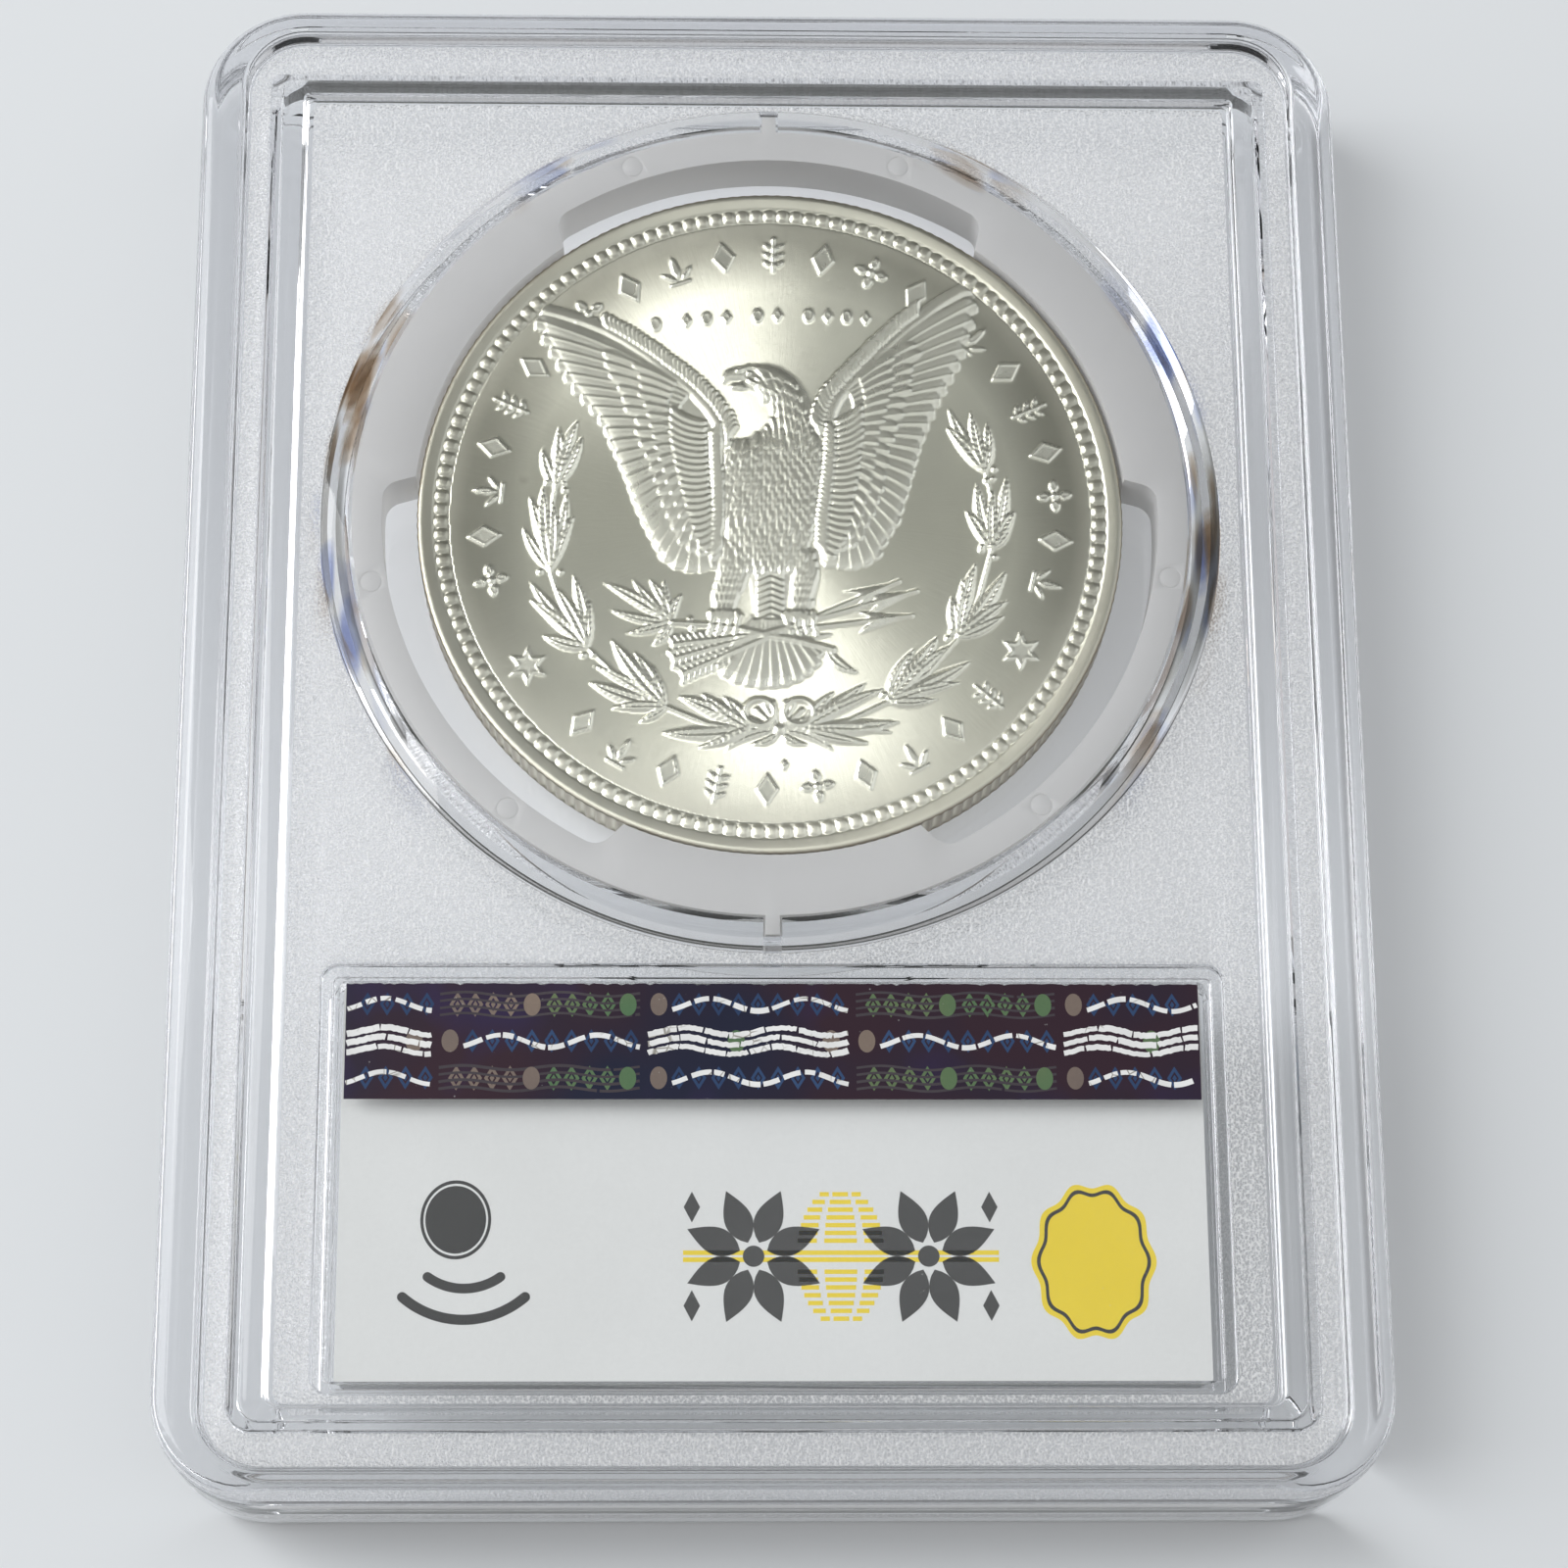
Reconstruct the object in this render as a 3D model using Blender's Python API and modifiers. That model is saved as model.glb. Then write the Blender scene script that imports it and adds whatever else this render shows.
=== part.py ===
"""Graded coin slab: a dollar-size coin sealed in a welded two-shell holder.

World frame: X across the slab, Y from the label end (-Y) to the coin end (+Y),
Z up. The slab lies on the rim of its front shell at Z = 0, with the rear face
on top. Sizes are in millimetres and become metres where the shapes are made.
"""
import math

import bmesh
import bpy

MM = 0.001

# --- holder, outside ---------------------------------------------------------
SLAB_W = 62.5            # across X
SLAB_H = 82.5            # along Y
SLAB_T = 8.0             # over both rims
CORNER_R = 5.6           # outer corner in plan
EDGE_ROUND = 0.9         # rounding of the two outer rim edges
RIM_IN_W = 57.6          # recess inside the rim, across X
RIM_IN_H = 79.0          # recess inside the rim, along Y
RIM_IN_R = 3.2
FRONT_FACE = 0.9         # height of the front panel
REAR_FACE = SLAB_T - FRONT_FACE
PARTING = SLAB_T / 2     # welded joint between the shells
SEAM = 0.04              # gap left at the joint
REAR_JOINT = PARTING + SEAM / 2
FRONT_JOINT = PARTING - SEAM / 2

# --- how far helper solids run on --------------------------------------------
OVERCUT = 1.0            # cutters, past the face they open
OVERLAP = 0.2            # added solids, into the body they join

# --- rear stacking ridge -----------------------------------------------------
RIDGE_OUT_W = 55.0
RIDGE_OUT_TOP = 37.45
RIDGE_OUT_BOTTOM = -37.55
RIDGE_OUT_R = (0.5, 0.5, 1.3, 1.3)       # +Y corners, then -Y corners
RIDGE_IN_W = 50.3
RIDGE_IN_TOP = 35.75
RIDGE_IN_BOTTOM = -36.15
RIDGE_IN_R = 0.4
RIDGE_STEP = 0.6         # width of the low outer step
RIDGE_IN_STEP = 0.35     # width of the low inner step
RIDGE_HIGH_OUT_R = (0.4, 0.4, 0.9, 0.9)
RIDGE_HIGH_IN_R = 0.5
RIDGE_STEP_Z = 7.45
RIDGE_TOP_Z = 7.75
RIDGE_ROOT = 0.3         # depth of the ridge foot in the panel

# --- coin windows ------------------------------------------------------------
WINDOW_Y = 11.35         # centre of the raised window
WINDOW_R_OUT = 24.15     # foot of its bevel
WINDOW_R_IN = 22.6       # top of its bevel
WINDOW_RISE = 0.3        # window surface over the panel
WINDOW_ROOT = -0.25      # underside of the added disc, inside the panel
WINDOW_STEPS = 96
# (radius, height over the panel), from the middle outward and back
WINDOW_PROFILE = (
    (0.0, WINDOW_RISE),
    (WINDOW_R_IN - 0.15, WINDOW_RISE),
    (WINDOW_R_IN + 0.15, WINDOW_RISE - 0.04),
    (WINDOW_R_OUT - 0.08, 0.10),
    (WINDOW_R_OUT, 0.02),
    (WINDOW_R_OUT, WINDOW_ROOT),
    (0.0, WINDOW_ROOT),
)

# --- coin insert -------------------------------------------------------------
COIN_Y = 12.0            # centre of coin, insert and well
INSERT_R = 22.5
INSERT_T = 3.3
INSERT_BOTTOM = PARTING - INSERT_T / 2
INSERT_TOP = PARTING + INSERT_T / 2
PRONG_R = 19.3           # face of each prong round the coin
RECESS_R = 20.9          # outer wall of the openings between prongs
PRONG_HALF = 24.0        # half angle of a prong at the coin, degrees
PRONG_ROOT_HALF = 25.6   # half angle at its root
PRONG_AT = (30.0, 150.0, 270.0)
PRONG_SPACING = 360 / len(PRONG_AT)
PRONG_STEPS = 12
RECESS_STEPS = 16
RECESS_ARC_START = 1.4   # degrees from the end of an opening to its arc
# Rounded outer corner of an opening:
# (depth inside RECESS_R, degrees from the end of the opening)
RECESS_CORNER = ((0.45, -0.1), (0.12, 0.45))
KEY_W = 0.75             # locating key at each Y end of the insert
KEY_R = 23.45
INSERT_HALF_STEPS = 48

# --- well round the insert ---------------------------------------------------
WELL_GAP = 0.15          # round the insert
WELL_GAP_Z = 0.1         # over and under the insert
WELL_R = INSERT_R + WELL_GAP
WELL_TOP = INSERT_TOP + WELL_GAP_Z
WELL_BOTTOM = INSERT_BOTTOM - WELL_GAP_Z
RIB_R = 24.15            # outside of the rib round the well
KEY_SLOT_IN_R = 21.5     # inner end of the slots for the keys
KEY_SLOT_OUT_R = KEY_R + 0.15
KEY_SLOT_HALF = KEY_W / 2 + 0.12

# --- coin --------------------------------------------------------------------
COIN_R = 19.05
COIN_T = 2.4
COIN_RIM = 0.75
COIN_RIM_SLOPE = 0.25    # run of the slope from rim to field
COIN_CHAMFER = 0.12
COIN_FIELD = 0.14        # depth of both fields below the rims
COIN_STEPS = 120

# --- labels, pocket and label windows ----------------------------------------
LABEL_W = 44.5
LABEL_TOP = -14.25
LABEL_BOTTOM = -34.95
LABEL_MID = (LABEL_TOP + LABEL_BOTTOM) / 2
LABEL_R = 0.25
LABEL_T = 0.2
POCKET_GAP_X = 0.35      # between the labels and the pocket wall
POCKET_GAP_Y = 0.3
POCKET_W = LABEL_W + 2 * POCKET_GAP_X
POCKET_TOP = LABEL_TOP + POCKET_GAP_Y
POCKET_BOTTOM = LABEL_BOTTOM - POCKET_GAP_Y
POCKET_R = 0.5
POCKET_CEILING = 5.36
POCKET_WALL = 1.15
POCKET_WALL_R = 1.2
PAD_TOP = 4.60           # clear pad of the front shell that carries the label
PAD_R = 0.5
FRAME_W = 46.8           # outside recess over the label
FRAME_TOP = -13.35
FRAME_BOTTOM = -35.75
FRAME_R = 1.0
FRAME_STEP = 0.55        # width of the step round the recess
FRAME_STEP_R = 0.6
LABEL_RECESS = 0.5       # full depth of the recess

# --- shell walls and joint ---------------------------------------------------
CAVITY_W = 54.0
CAVITY_H = 75.0
CAVITY_R = 2.0
PLATE = 1.8              # wall of each shell at the panel
REAR_PLATE_Z = REAR_FACE - PLATE
FRONT_PLATE_Z = FRONT_FACE + PLATE
TONGUE_W = 59.0
TONGUE_H = 79.6
TONGUE_R = 4.0
TONGUE_WALL = 0.9
TONGUE_DEPTH = 0.7
TONGUE_ROOT = 0.5        # height of the tongue above the joint
GROOVE_GAP = 0.06        # each side of the tongue
GROOVE_GAP_Z = 0.08      # below the tongue

# --- strip in the rear label recess ------------------------------------------
STRIP_W = 44.1
STRIP_BOTTOM = -20.45
STRIP_R = 0.2
STRIP_T = 0.08
STRIP_Z = REAR_FACE - LABEL_RECESS + 0.02

# --- layers in the pocket, as (bottom, top) heights --------------------------
LAYER_GAP = 0.03
FILM_T = 0.06
ANTENNA_T = 0.03
CHIP_T = 0.12
FRONT_LABEL_Z = (PAD_TOP + LAYER_GAP, PAD_TOP + LAYER_GAP + LABEL_T)
FILM_Z = (FRONT_LABEL_Z[1] + LAYER_GAP, FRONT_LABEL_Z[1] + LAYER_GAP + FILM_T)
INLAY_Z = FILM_Z[1] + LAYER_GAP
REAR_LABEL_Z = (5.12, 5.12 + LABEL_T)

# --- contactless inlay -------------------------------------------------------
FILM_W = 40.0
FILM_H = 17.0
FILM_R = 0.5
CHIP_W = 2.2
CHIP_H = 1.8
CHIP_R = 0.15
COIL_W = 37.0
COIL_H = 14.0
COIL_TURNS = 4
COIL_TRACK = 0.45
COIL_PITCH = 0.95
COIL_TAIL = 4.0          # last run at the inner end

for old in list(bpy.data.objects):
    bpy.data.objects.remove(old, do_unlink=True)


def new_collection(name):
    made = bpy.data.collections.new(name)
    bpy.context.scene.collection.children.link(made)
    return made


slab = new_collection("graded_coin_slab")
cutters = new_collection("cutters")


# --- outlines, all in millimetres and counter-clockwise ----------------------
def rounded(width, bottom, top, radii, segments):
    """Rounded rectangle centred on X = 0.

    One radius, or four for the corners (+x+y, -x+y, -x-y, +x-y).
    """
    if not isinstance(radii, tuple):
        radii = (radii,) * 4
    corners = ((1, True), (-1, True), (-1, False), (1, False))
    points = []
    for quarter, ((side, at_top), radius) in enumerate(zip(corners, radii)):
        centre_x = side * (width / 2 - radius)
        centre_y = top - radius if at_top else bottom + radius
        for i in range(segments + 1):
            angle = math.radians(90 * quarter + 90.0 * i / segments)
            points.append((
                centre_x + radius * math.cos(angle),
                centre_y + radius * math.sin(angle),
            ))
    return points


def centred(width, height, radius, segments):
    return rounded(width, -height / 2, height / 2, radius, segments)


def circle(radius, y, segments=96):
    angles = [2 * math.pi * i / segments for i in range(segments)]
    return [(radius * math.cos(a), y + radius * math.sin(a)) for a in angles]


def tongue_ring(gap=0.0):
    """Both outlines of the joint tongue, with a gap added on each side."""
    inset = TONGUE_WALL + gap
    return [
        centred(TONGUE_W + 2 * gap, TONGUE_H + 2 * gap, TONGUE_R + gap, 8),
        centred(TONGUE_W - 2 * inset, TONGUE_H - 2 * inset, TONGUE_R - inset, 8),
    ]


# --- solids ------------------------------------------------------------------
def prism_mesh(name, outlines, bottom, top):
    """A prism between two heights; a second outline inside the first is a hole."""
    curve = bpy.data.curves.new(name, "CURVE")
    curve.dimensions = "2D"
    curve.fill_mode = "BOTH"
    curve.extrude = (top - bottom) / 2 * MM
    for outline in outlines:
        spline = curve.splines.new("POLY")
        spline.points.add(len(outline) - 1)
        for point, (x, y) in zip(spline.points, outline):
            point.co = (x * MM, y * MM, 0.0, 1.0)
        spline.use_cyclic_u = True
    holder = bpy.data.objects.new(name + "_outline", curve)
    mesh = bpy.data.meshes.new_from_object(holder)
    mesh.name = name
    bpy.data.objects.remove(holder, do_unlink=True)
    bpy.data.curves.remove(curve)

    shape = bmesh.new()
    shape.from_mesh(mesh)
    bmesh.ops.translate(shape, verts=shape.verts, vec=(0, 0, (bottom + top) / 2 * MM))
    bmesh.ops.remove_doubles(shape, verts=shape.verts, dist=1e-7)
    bmesh.ops.recalc_face_normals(shape, faces=shape.faces)
    if len(outlines) == 1:
        # Each cap becomes one flat face, so that its edges can be rounded.
        bmesh.ops.dissolve_limit(shape, angle_limit=0.01, verts=shape.verts, edges=shape.edges)
    shape.to_mesh(mesh)
    shape.free()
    return mesh


def prism(name, outlines, bottom, top):
    return bpy.data.objects.new(name, prism_mesh(name, outlines, bottom, top))


def turned(name, profile, steps, y, z=0.0):
    """A body turned about Z from a (radius, height) profile, its axis foot at y, z.

    The profile starts and ends on the axis.
    """
    mesh = bpy.data.meshes.new(name)
    points = [(radius * MM, 0.0, height * MM) for radius, height in profile]
    mesh.from_pydata(points, [(i, i + 1) for i in range(len(points) - 1)], [])
    obj = bpy.data.objects.new(name, mesh)
    obj.location = (0.0, y * MM, z * MM)
    screw = obj.modifiers.new("turn", "SCREW")
    screw.axis = "Z"
    screw.angle = 2 * math.pi
    screw.steps = steps
    screw.render_steps = steps
    screw.use_merge_vertices = True
    screw.merge_threshold = 1e-6
    screw.use_smooth_shade = True
    return obj


def add_piece(obj, made_of):
    """Puts a visible piece in the slab, flat shaded, in one material."""
    slab.objects.link(obj)
    obj.data.materials.clear()
    obj.data.materials.append(made_of)
    for polygon in obj.data.polygons:
        polygon.use_smooth = False
    return obj


def combine(target, tool, operation):
    """Adds or cuts a hidden tool solid with a live boolean."""
    cutters.objects.link(tool)
    tool.hide_render = True
    tool.display_type = "WIRE"
    boolean = target.modifiers.new(operation.lower() + "_" + tool.name, "BOOLEAN")
    boolean.operation = operation
    boolean.solver = "EXACT"
    boolean.object = tool


def cut(target, name, outlines, bottom, top):
    combine(target, prism(name, outlines, bottom, top), "DIFFERENCE")


def fuse(target, name, outlines, bottom, top):
    combine(target, prism(name, outlines, bottom, top), "UNION")


def round_outer_edge(obj, height):
    """Rounds the outline edge that lies at this height."""
    shape = bmesh.new()
    shape.from_mesh(obj.data)
    weight = shape.edges.layers.float.new("bevel_weight_edge")
    for edge in shape.edges:
        at_height = all(abs(v.co.z - height * MM) < 1e-7 for v in edge.verts)
        if at_height and len(edge.link_faces) == 2:
            face, other = edge.link_faces
            if abs(face.normal.z - other.normal.z) > 0.5:
                edge[weight] = 1.0
    shape.to_mesh(obj.data)
    shape.free()
    bevel = obj.modifiers.new("rounding", "BEVEL")
    bevel.limit_method = "WEIGHT"
    bevel.width = EDGE_ROUND * MM
    bevel.segments = 4
    bevel.profile = 0.5
    bevel.use_clamp_overlap = False


# --- materials ---------------------------------------------------------------
def material(name, colour, rough, metal=0.0, alpha=1.0):
    made = bpy.data.materials.new(name)
    made.use_nodes = True
    made.diffuse_color = (*colour, alpha)
    shader = made.node_tree.nodes["Principled BSDF"]
    shader.inputs["Base Color"].default_value = (*colour, 1.0)
    shader.inputs["Roughness"].default_value = rough
    shader.inputs["Metallic"].default_value = metal
    shader.inputs["Alpha"].default_value = alpha
    return made


def clear_polystyrene(side):
    return material("clear_polystyrene_" + side, colour=(0.90, 0.92, 0.94), rough=0.08, alpha=0.35)


clear_rear = clear_polystyrene("rear")
clear_front = clear_polystyrene("front")
insert_white = material("translucent_insert", colour=(0.80, 0.79, 0.78), rough=0.45)
silver = material("coin_silver", colour=(0.78, 0.77, 0.70), rough=0.28, metal=1.0)
paper_rear = material("label_paper", colour=(0.86, 0.87, 0.86), rough=0.7)
paper_front = material("label_paper_front", colour=(0.84, 0.86, 0.88), rough=0.7)
foil = material("strip_foil", colour=(0.05, 0.04, 0.11), rough=0.3, metal=0.6)
film_plastic = material("inlay_film", colour=(0.88, 0.88, 0.86), rough=0.4)
aluminium = material("etched_aluminium", colour=(0.75, 0.75, 0.76), rough=0.35, metal=1.0)
epoxy = material("chip_epoxy", colour=(0.02, 0.02, 0.02), rough=0.35)


# --- outlines that both shells share -----------------------------------------
slab_outline = centred(SLAB_W, SLAB_H, CORNER_R, 12)
rim_outline = centred(RIM_IN_W, RIM_IN_H, RIM_IN_R, 8)
cavity_outline = centred(CAVITY_W, CAVITY_H, CAVITY_R, 4)
rib_outline = circle(RIB_R, COIN_Y)
well_outline = circle(WELL_R, COIN_Y)
frame_outline = rounded(FRAME_W, FRAME_BOTTOM, FRAME_TOP, FRAME_R, 5)
frame_inner_outline = rounded(
    FRAME_W - 2 * FRAME_STEP, FRAME_BOTTOM + FRAME_STEP, FRAME_TOP - FRAME_STEP, FRAME_STEP_R, 5
)


def cut_key_slots(shell, name, bottom, top):
    """Two slots of the well wall that take the locating keys of the insert."""
    spans = (
        ("_top", COIN_Y + KEY_SLOT_IN_R, COIN_Y + KEY_SLOT_OUT_R),
        ("_bottom", COIN_Y - KEY_SLOT_OUT_R, COIN_Y - KEY_SLOT_IN_R),
    )
    half = KEY_SLOT_HALF
    for end, y_low, y_high in spans:
        outline = [(-half, y_low), (half, y_low), (half, y_high), (-half, y_high)]
        cut(shell, name + end, [outline], bottom, top)


# === rear shell ==============================================================
def add_ridge(shell):
    """The stacking ridge: a low ring with a narrower, higher ring on it."""
    low_ring = [
        rounded(RIDGE_OUT_W, RIDGE_OUT_BOTTOM, RIDGE_OUT_TOP, RIDGE_OUT_R, 5),
        rounded(RIDGE_IN_W, RIDGE_IN_BOTTOM, RIDGE_IN_TOP, RIDGE_IN_R, 4),
    ]
    fuse(shell, "rear_ridge_low", low_ring, REAR_FACE - RIDGE_ROOT, RIDGE_STEP_Z)
    high_ring = [
        rounded(
            RIDGE_OUT_W - 2 * RIDGE_STEP,
            RIDGE_OUT_BOTTOM + RIDGE_STEP, RIDGE_OUT_TOP - RIDGE_STEP, RIDGE_HIGH_OUT_R, 5,
        ),
        rounded(
            RIDGE_IN_W + 2 * RIDGE_IN_STEP,
            RIDGE_IN_BOTTOM - RIDGE_IN_STEP, RIDGE_IN_TOP + RIDGE_IN_STEP, RIDGE_HIGH_IN_R, 4,
        ),
    ]
    fuse(shell, "rear_ridge_high", high_ring, RIDGE_STEP_Z - OVERLAP, RIDGE_TOP_Z)


def build_rear_shell():
    shell = add_piece(prism("rear_shell", [slab_outline], REAR_JOINT, SLAB_T), clear_rear)
    round_outer_edge(shell, SLAB_T)
    cut(shell, "rear_recess", [rim_outline], REAR_FACE, SLAB_T + OVERCUT)
    add_ridge(shell)
    window = [(radius, REAR_FACE + rise) for radius, rise in WINDOW_PROFILE]
    combine(shell, turned("rear_window", window, WINDOW_STEPS, WINDOW_Y), "UNION")
    cut(shell, "rear_label_step", [frame_outline], REAR_FACE - LABEL_RECESS / 2, SLAB_T)
    cut(shell, "rear_label_recess", [frame_inner_outline], REAR_FACE - LABEL_RECESS, SLAB_T)

    # The inside is hollowed, then the rib and the pocket wall are put back.
    below = PARTING - OVERCUT
    pocket = rounded(POCKET_W, POCKET_BOTTOM, POCKET_TOP, POCKET_R, 4)
    pocket_wall = rounded(
        POCKET_W + 2 * POCKET_WALL,
        POCKET_BOTTOM - POCKET_WALL, POCKET_TOP + POCKET_WALL, POCKET_WALL_R, 4,
    )
    cut(shell, "rear_cavity", [cavity_outline], below, REAR_PLATE_Z)
    fuse(shell, "rear_rib", [rib_outline], REAR_JOINT, REAR_PLATE_Z + OVERLAP)
    fuse(shell, "rear_pocket_wall", [pocket_wall], REAR_JOINT, REAR_PLATE_Z + OVERLAP)
    cut(shell, "rear_well", [well_outline], below, WELL_TOP)
    cut(shell, "rear_pocket", [pocket], below, POCKET_CEILING)
    cut_key_slots(shell, "rear_key", below, WELL_TOP)
    fuse(shell, "rear_tongue", tongue_ring(), PARTING - TONGUE_DEPTH, PARTING + TONGUE_ROOT)


# === front shell =============================================================
def build_front_shell():
    shell = add_piece(prism("front_shell", [slab_outline], 0.0, FRONT_JOINT), clear_front)
    round_outer_edge(shell, 0.0)
    cut(shell, "front_recess", [rim_outline], -OVERCUT, FRONT_FACE)
    window = [(radius, FRONT_FACE - rise) for radius, rise in reversed(WINDOW_PROFILE)]
    combine(shell, turned("front_window", window, WINDOW_STEPS, WINDOW_Y), "UNION")
    cut(shell, "front_label_step", [frame_outline], -OVERCUT, FRONT_FACE + LABEL_RECESS / 2)
    cut(shell, "front_label_recess", [frame_inner_outline], -OVERCUT, FRONT_FACE + LABEL_RECESS)

    above = PARTING + OVERCUT
    pad = rounded(LABEL_W, LABEL_BOTTOM, LABEL_TOP, PAD_R, 4)
    cut(shell, "front_cavity", [cavity_outline], FRONT_PLATE_Z, above)
    fuse(shell, "front_rib", [rib_outline], FRONT_PLATE_Z - OVERLAP, FRONT_JOINT)
    cut(shell, "front_well", [well_outline], WELL_BOTTOM, above)
    cut_key_slots(shell, "front_key", WELL_BOTTOM, above)
    fuse(shell, "front_label_pad", [pad], FRONT_PLATE_Z - OVERLAP, PAD_TOP)
    groove_floor = PARTING - TONGUE_DEPTH - GROOVE_GAP_Z
    cut(shell, "front_groove", tongue_ring(GROOVE_GAP), groove_floor, above)


# === coin insert =============================================================
def polar(radius, degrees):
    angle = math.radians(degrees)
    return (radius * math.cos(angle), COIN_Y + radius * math.sin(angle))


def arc(radius, start, sweep, steps):
    return [polar(radius, start + sweep * i / steps) for i in range(steps + 1)]


def insert_inner():
    """Inner outline of the insert: three prong faces with openings between."""
    points = []
    for prong in PRONG_AT:
        points += arc(PRONG_R, prong - PRONG_HALF, 2 * PRONG_HALF, PRONG_STEPS)
        first = prong + PRONG_ROOT_HALF
        last = prong + PRONG_SPACING - PRONG_ROOT_HALF
        points += [polar(RECESS_R - depth, first + turn) for depth, turn in RECESS_CORNER]
        sweep = last - first - 2 * RECESS_ARC_START
        points += arc(RECESS_R, first + RECESS_ARC_START, sweep, RECESS_STEPS)
        points += [polar(RECESS_R - depth, last - turn) for depth, turn in reversed(RECESS_CORNER)]
    return points


def insert_outer():
    """Outer outline with a locating key at each end of the Y axis."""
    points = []
    key_half = math.degrees(math.asin(KEY_W / 2 / INSERT_R))
    for key_at, side in ((90.0, 1), (270.0, -1)):
        start = key_at - 180 + key_half
        points += arc(INSERT_R, start, 180 - 2 * key_half, INSERT_HALF_STEPS)
        points.append((side * KEY_W / 2, COIN_Y + side * KEY_R))
        points.append((-side * KEY_W / 2, COIN_Y + side * KEY_R))
    return points


def build_insert():
    outlines = [insert_outer(), insert_inner()]
    add_piece(prism("coin_insert", outlines, INSERT_BOTTOM, INSERT_TOP), insert_white)


# === coin ====================================================================
def build_coin():
    """A blank disc with raised rims, the same on both faces."""
    half = COIN_T / 2
    field = half - COIN_FIELD
    rim_foot = COIN_R - COIN_RIM
    upper = [
        (0.0, field),
        (rim_foot - COIN_RIM_SLOPE, field),
        (rim_foot, half),
        (COIN_R - COIN_CHAMFER, half),
        (COIN_R, half - COIN_CHAMFER),
    ]
    lower = [(radius, -height) for radius, height in reversed(upper)]
    add_piece(turned("coin", upper + lower, COIN_STEPS, COIN_Y, PARTING), silver)


# === labels and strip ========================================================
def build_papers():
    label = rounded(LABEL_W, LABEL_BOTTOM, LABEL_TOP, LABEL_R, 2)
    add_piece(prism("rear_label", [label], *REAR_LABEL_Z), paper_rear)
    add_piece(prism("front_label", [label], *FRONT_LABEL_Z), paper_front)
    strip = rounded(STRIP_W, STRIP_BOTTOM, LABEL_TOP, STRIP_R, 3)
    add_piece(prism("security_strip", [strip], STRIP_Z, STRIP_Z + STRIP_T), foil)


# === contactless inlay =======================================================
def coil_centreline():
    """A rectangular spiral, from the outer end inward."""
    points = [(-COIL_W / 2, LABEL_MID - COIL_H / 2)]
    for turn in range(COIL_TURNS):
        inset = turn * COIL_PITCH
        x = COIL_W / 2 - inset
        y = COIL_H / 2 - inset
        points.append((x, LABEL_MID - y))
        points.append((x, LABEL_MID + y))
        points.append((-x, LABEL_MID + y))
        points.append((-x, LABEL_MID - y + COIL_PITCH))
    points.append((points[-1][0] + COIL_TAIL, points[-1][1]))
    return points


def track_outline(line, width):
    """The outline of a track of this width whose corners are all square."""
    normals = []
    for (x0, y0), (x1, y1) in zip(line, line[1:]):
        length = math.hypot(x1 - x0, y1 - y0)
        normals.append(((y0 - y1) / length, (x1 - x0) / length))
    # At a square corner the two unit normals add up to the mitre.
    mitres = [(a[0] + b[0], a[1] + b[1]) for a, b in zip(normals, normals[1:])]
    offsets = [normals[0], *mitres, normals[-1]]
    left, right = [], []
    for (x, y), (across_x, across_y) in zip(line, offsets):
        left.append((x + across_x * width / 2, y + across_y * width / 2))
        right.append((x - across_x * width / 2, y - across_y * width / 2))
    return left + right[::-1]


def build_inlay():
    film = rounded(FILM_W, LABEL_MID - FILM_H / 2, LABEL_MID + FILM_H / 2, FILM_R, 3)
    add_piece(prism("nfc_film", [film], *FILM_Z), film_plastic)
    track = track_outline(coil_centreline(), COIL_TRACK)
    add_piece(prism("nfc_antenna", [track], INLAY_Z, INLAY_Z + ANTENNA_T), aluminium)
    chip = rounded(CHIP_W, LABEL_MID - CHIP_H / 2, LABEL_MID + CHIP_H / 2, CHIP_R, 2)
    add_piece(prism("nfc_chip", [chip], INLAY_Z, INLAY_Z + CHIP_T), epoxy)


build_rear_shell()
build_front_shell()
build_insert()
build_coin()
build_papers()
build_inlay()
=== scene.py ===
# A struck silver coin sealed in a clear plastic slab, with printed labels and a foil strip.
# The slab lies flat: width along X, height along Y with the labels at the -Y end, and
# thickness from z = 0 to 8. The rear shell, the rear label and the coin's bird face up;
# the front shell and the front label face down. Sizes are in millimetres unless noted.
import math
from functools import cached_property

import bmesh
import bpy
import numpy as np
from mathutils import Matrix, Vector


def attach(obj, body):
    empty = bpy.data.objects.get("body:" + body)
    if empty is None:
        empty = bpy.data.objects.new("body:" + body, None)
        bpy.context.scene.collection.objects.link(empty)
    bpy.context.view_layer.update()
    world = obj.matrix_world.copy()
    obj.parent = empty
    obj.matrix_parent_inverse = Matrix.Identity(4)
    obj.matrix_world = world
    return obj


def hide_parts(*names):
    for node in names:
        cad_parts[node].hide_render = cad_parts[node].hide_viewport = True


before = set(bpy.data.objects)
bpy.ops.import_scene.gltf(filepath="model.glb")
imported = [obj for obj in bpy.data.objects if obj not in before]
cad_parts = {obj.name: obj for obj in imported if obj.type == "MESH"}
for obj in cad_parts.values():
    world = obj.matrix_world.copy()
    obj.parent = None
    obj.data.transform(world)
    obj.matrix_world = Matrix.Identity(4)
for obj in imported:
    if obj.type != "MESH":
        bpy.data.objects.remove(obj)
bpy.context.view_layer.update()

MM = 0.001

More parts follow.
